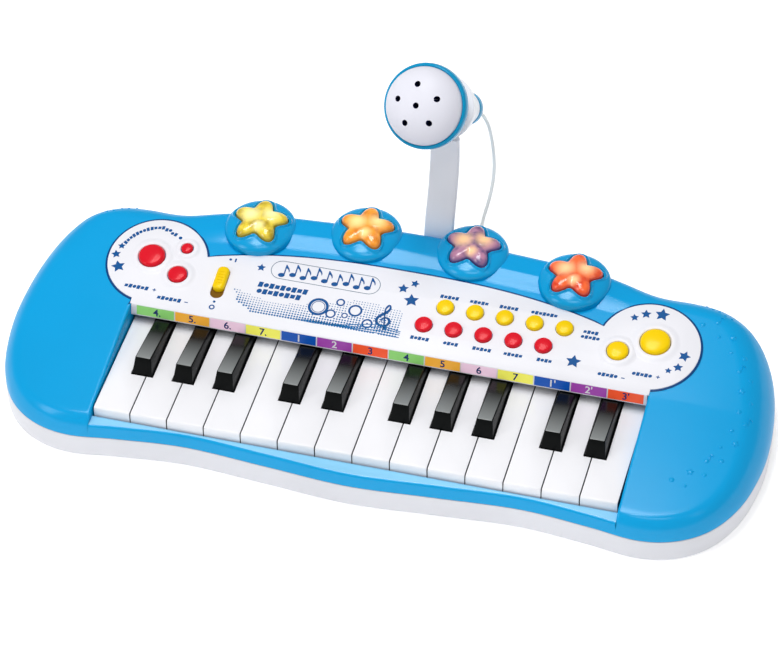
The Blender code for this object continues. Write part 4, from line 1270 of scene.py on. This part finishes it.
def make_underside():
    feet, heads, sockets, holes, seam = (bmesh.new() for _ in range(5))
    for x, y in FEET:
        add_post(feet, x, y, 6.0, 0.02, BASE_Z + 0.3, 40, 0.5)
    # Dark discs round the screws and dark crosses in their heads paint the shade in the sockets and slots.
    for x, y in SCREWS:
        annulus(sockets, x, y, HAIR, 3.6, BASE_Z - SKIN)
        add_post(heads, x, y, 2.4, BASE_Z - 0.4, BASE_Z, 24, 0.3)
        for degrees in (20, 110):
            turn = Matrix.Rotation(math.radians(degrees), 4, "Z")
            add_bar(sockets, Matrix.Translation((x, y, BASE_Z - 0.42)) @ turn, (2.6, 0.6, 0.06))
    # Speaker holes under the bass cheek, in rings, drawn as dark discs that paint the shade inside them
    for ring, count in ((0, 1), (5, 6), (10, 12), (15, 18)):
        for x, y in circle(SPEAKER_X, SPEAKER_Y, ring, count):
            annulus(holes, x, y, HAIR, 1.4, BASE_Z - SKIN, 16)
    # The battery door: a seam round it and a row of grip ribs
    half, front, back = DOOR_HALF_X + 0.7, DOOR_FRONT - 0.7, DOOR_BACK + 0.7
    corners = [Vector(p) for p in ((-half, front), (half, front), (half, back), (-half, back))]
    for a, b in zip(corners, corners[1:] + corners[:1]):
        ribbon(seam, [a, b], [0.7, 0.7], BASE_Z - SKIN)
    for k in range(6):
        y = DOOR_BACK - 8 - 2.2 * k
        ribbon(seam, [Vector((-9, y)), Vector((9, y))], [0.7, 0.7], DOOR_FACE - SKIN)
    for name, made, finish in (("rubber_feet", feet, "gland"), ("screw_heads", heads, "steel"),
                               ("screw_sockets", sockets, "dark"), ("speaker_holes", holes, "dark"),
                               ("door_seam", seam, "dark")):
        add_trim(name, made, M[finish])


def dress_kept_nodes():
    """The inner parts keep their CAD shapes and get finishes of their own."""
    board = plastic("board_green", linear(24, 92, 58), 0.4, 0.4, shade=0.7, grain=0.05, grain_scale=300.0)
    cone = plastic("speaker_cone", linear(36, 36, 40), 0.7, 0.2, shade=0.8, grain=0.3, grain_scale=500.0)
    rubber = plastic("contact_rubber", linear(58, 60, 64), 0.8, 0.1, shade=0.85)
    finishes = {"speaker": cone, "main_circuit_board": board, "key_contact_strip": rubber,
                "key_pivot_rod": M["steel"], "battery_box": M["lower"], "battery_door": M["lower"]}
    for name, finish in finishes.items():
        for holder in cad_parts[name].material_slots:
            holder.material = finish


make_underside()
dress_kept_nodes()


# ---------------------------------------------------------------- microphone

MIC_HEAD = Vector((0.8, 78.4, 137.8))
MIC_AXIS = Vector((-0.1182, -0.7637, 0.6347)).normalized()
BODY_START, BODY_END = -3.7, -65.5
HEAD_RADIUS, TAIL_RADIUS, BODY_POWER = 20.6, 9.1, 0.75
GRILLE_RADIUS, GRILLE_RISE, GRILLE_BASE = 20.7, 14.4, 2.6
HOLE_CIRCLE, HOLE_RADIUS, HOLE_TURN = 11.2, 1.6, 13.8
COLLAR_START, COLLAR_END = -24.0, -34.0
STEM_X, STEM_HALF, STEM_THICK, STEM_CORNER = 7.6, 8.0, 2.0, 1.5
STEM_PATH = ((76.7, 34), (76.7, 41), (77.3, 50), (80.5, 60), (84.5, 69), (88, 79), (90.6, 89), (91.6, 98),
             (91, 107))
GLAND_AT = (25, 76.8, 32.4)

# Local Z runs along the microphone's axis, local Y as near to up as it can be
MIC_UP = (Vector((0, 0, 1)) - MIC_AXIS * MIC_AXIS.z).normalized()
MIC_MATRIX = (Matrix.Translation(MIC_HEAD)
              @ Matrix((MIC_UP.cross(MIC_AXIS), MIC_UP, MIC_AXIS)).transposed().to_4x4())


def mic_radius(z):
    share = clamped((BODY_START - z) / (BODY_START - BODY_END))
    return HEAD_RADIUS + (TAIL_RADIUS - HEAD_RADIUS) * share ** BODY_POWER


def turned_piece(name, profile, sides, finish, place, slot, node, sharp=50):
    made = bmesh.new()
    revolve(made, profile, sides)
    finished(add_mesh(name, made, M[finish], place, sharp=sharp), "case", slot, node)


def make_grille():
    """A domed cap with a hole in its middle and five round it."""
    made, cutter = bmesh.new(), bmesh.new()
    profile = [(0, GRILLE_BASE + GRILLE_RISE)]
    profile += [(GRILLE_RADIUS * math.sin(a), GRILLE_BASE + GRILLE_RISE * math.cos(a))
                for a in (math.radians(degrees) for degrees in range(4, 90, 4))]
    profile += [(GRILLE_RADIUS, GRILLE_BASE), (GRILLE_RADIUS, -3), (0, -3)]
    revolve(made, profile, 96)
    first = 90 + HOLE_TURN
    for x, y in arc(0, 0, HOLE_CIRCLE, first, first + 360, 5)[:-1] + [(0, 0)]:
        add_drill(cutter, x, y, 18.5, HOLE_RADIUS, 20, 32)
    grille = cut_away(made, cutter, M["mic"])
    # The holes' walls and floors are the faces that lie below the dome's skin; their navy paints the shade
    # inside the holes
    for face in grille.faces:
        middle = face.calc_center_median()
        from_axis = math.hypot(middle.x, middle.y)
        if (middle.z < 13.0 and from_axis < 14) or (from_axis < 1.62 and middle.z < 16.97):
            face.material_index = 1
    piece = add_mesh("mic_grille", grille, [M["grille"], M["hole"]], MIC_MATRIX, sharp=40, recalc=False)
    finished(piece, "case", "white_plastic", "microphone_grille")


def make_microphone():
    ring = [(20.6, 2.3), (20.9, 2.9), (21.4, 3.2), (22.0, 2.9), (22.45, 2.2), (22.7, 1.0), (22.7, -1.8),
            (22.45, -2.6), (21.9, -3.2), (21.2, -3.4), (20.6, -3.4)]
    turned_piece("mic_ring", ring, 96, "ring", MIC_MATRIX, "blue_shell", "microphone_ring", 60)
    make_grille()
    body = [(20.0, BODY_START), (20.4, BODY_START), (20.6, BODY_START - 0.3)]
    for k in range(1, 26):
        z = BODY_START + (BODY_END - BODY_START) * k / 26
        body.append((mic_radius(z), z))
    body += [(9.15, BODY_END + 0.5), (8.8, BODY_END), (0, BODY_END)]
    turned_piece("mic_body", body, 96, "mic", MIC_MATRIX, "white_plastic", "microphone_body")
    tail = [(0, -65.8), (8.6, -65.8), (9.1, -65.9), (9.3, -66.4), (9.35, -68.5), (9.3, -70.5), (9.0, -71.9),
            (8.3, -72.8), (7.2, -73.3), (5.6, -73.5), (3.4, -73.5), (3.1, -73.2), (0, -73.2)]
    turned_piece("mic_tail", tail, 72, "ring", MIC_MATRIX, "blue_shell", "microphone_end_cap")


def make_stem():
    """A flat curved arm from the ridge, with a collar that grips the microphone."""
    path = spline_through([(0, y, z) for y, z in STEM_PATH], 6)
    section = rounded_box(STEM_HALF, STEM_THICK, STEM_CORNER, 5)
    made = bmesh.new()
    columns = []
    for i, point in enumerate(path):
        along = heading(path, i)
        across = Vector((0, -along.z, along.y))
        columns.append([point + Vector((STEM_X + a, 0, 0)) + across * b for a, b in section + section[:1]])
    rows = strip_between(made, columns)
    made.faces.new(rows[-1][:-1])
    bmesh.ops.remove_doubles(made, verts=made.verts, dist=0.004)
    start, end = COLLAR_START, COLLAR_END
    collar = bmesh.new()
    revolve(collar, [(mic_radius(start) + 0.05, start), (mic_radius(start) + 2.6, start),
                     (mic_radius(start) + 3.1, start - 0.5), (mic_radius(end) + 3.3, end + 0.5),
                     (mic_radius(end) + 2.8, end), (mic_radius(end) + 0.05, end)], 80)
    bmesh.ops.transform(collar, matrix=MIC_MATRIX, verts=collar.verts)
    join(made, collar)
    finished(add_mesh("mic_stem", made, M["mic"], sharp=45), "case", "white_plastic", "microphone_stem")


def make_gland():
    """The ribbed sleeve where the lead enters the case's back."""
    profile = [(3.0, -2), (3.0, 6.0), (2.9, 8.0), (2.4, 8.3), (2.5, 9.6), (2.2, 10.0), (2.3, 11.4),
               (2.0, 11.8), (2.0, 13.2), (1.6, 15.4), (1.1, 15.6)]
    place = Matrix.Translation(GLAND_AT) @ Matrix.Rotation(-math.pi / 2, 4, "X")
    turned_piece("lead_gland", profile, 32, "gland", place, "gland", "cord_gland")


make_microphone()
make_stem()
make_gland()


# ---------------------------------------------------------------- floor and light

FLOOR_HALF, FLOOR_Z = 4.0, -0.00005


def make_floor():
    made, tree, shader = shader_material("floor_white", 0.9, 0.1)
    place = add_node(tree, "TexCoord")
    tinted(tree, shader, place, linear(253, 253, 253), linear(255, 255, 255), 3.0)
    set_inputs(shader, Emission_Color=(1, 1, 1, 1), Emission_Strength=0.35)
    data = bpy.data.meshes.new("floor")
    corners = [(x * FLOOR_HALF, y * FLOOR_HALF, FLOOR_Z) for x, y in ((-1, -1), (1, -1), (1, 1), (-1, 1))]
    data.from_pydata(corners, [], [(0, 1, 2, 3)])
    data.materials.append(made)
    link_object("floor", data)


def area_light(name, place, target, size_x, size_y, power):
    data = bpy.data.lights.new(name, "AREA")
    data.shape = "RECTANGLE"
    data.size, data.size_y = size_x, size_y
    data.energy = power
    lamp = link_object(name, data)
    lamp.location = place
    lamp.rotation_euler = (Vector(target) - Vector(place)).to_track_quat("-Z", "Y").to_euler()


def make_light():
    area_light("overhead", (-0.2, 0.04, 1.6), (-0.1, 0.02, 0), 1.1, 0.5, 15)
    area_light("key", (0.2, -1.0, 1.9), (0, 0, 0.03), 0.9, 0.4, 4.2)
    area_light("left_front", (-1.2, -1.2, 0.9), (0, 0, 0.06), 0.5, 1.0, 5.5)
    area_light("right_front", (1.5, -0.8, 1.3), (0, 0, 0.03), 0.4, 0.9, 1)
    world = bpy.data.worlds.new("studio")
    world.use_nodes = True
    set_inputs(world.node_tree.nodes["Background"], Color=(1, 1, 1, 1), Strength=0.36)
    bpy.context.scene.world = world


make_floor()
make_light()
bpy.context.scene.view_settings.view_transform = "Standard"
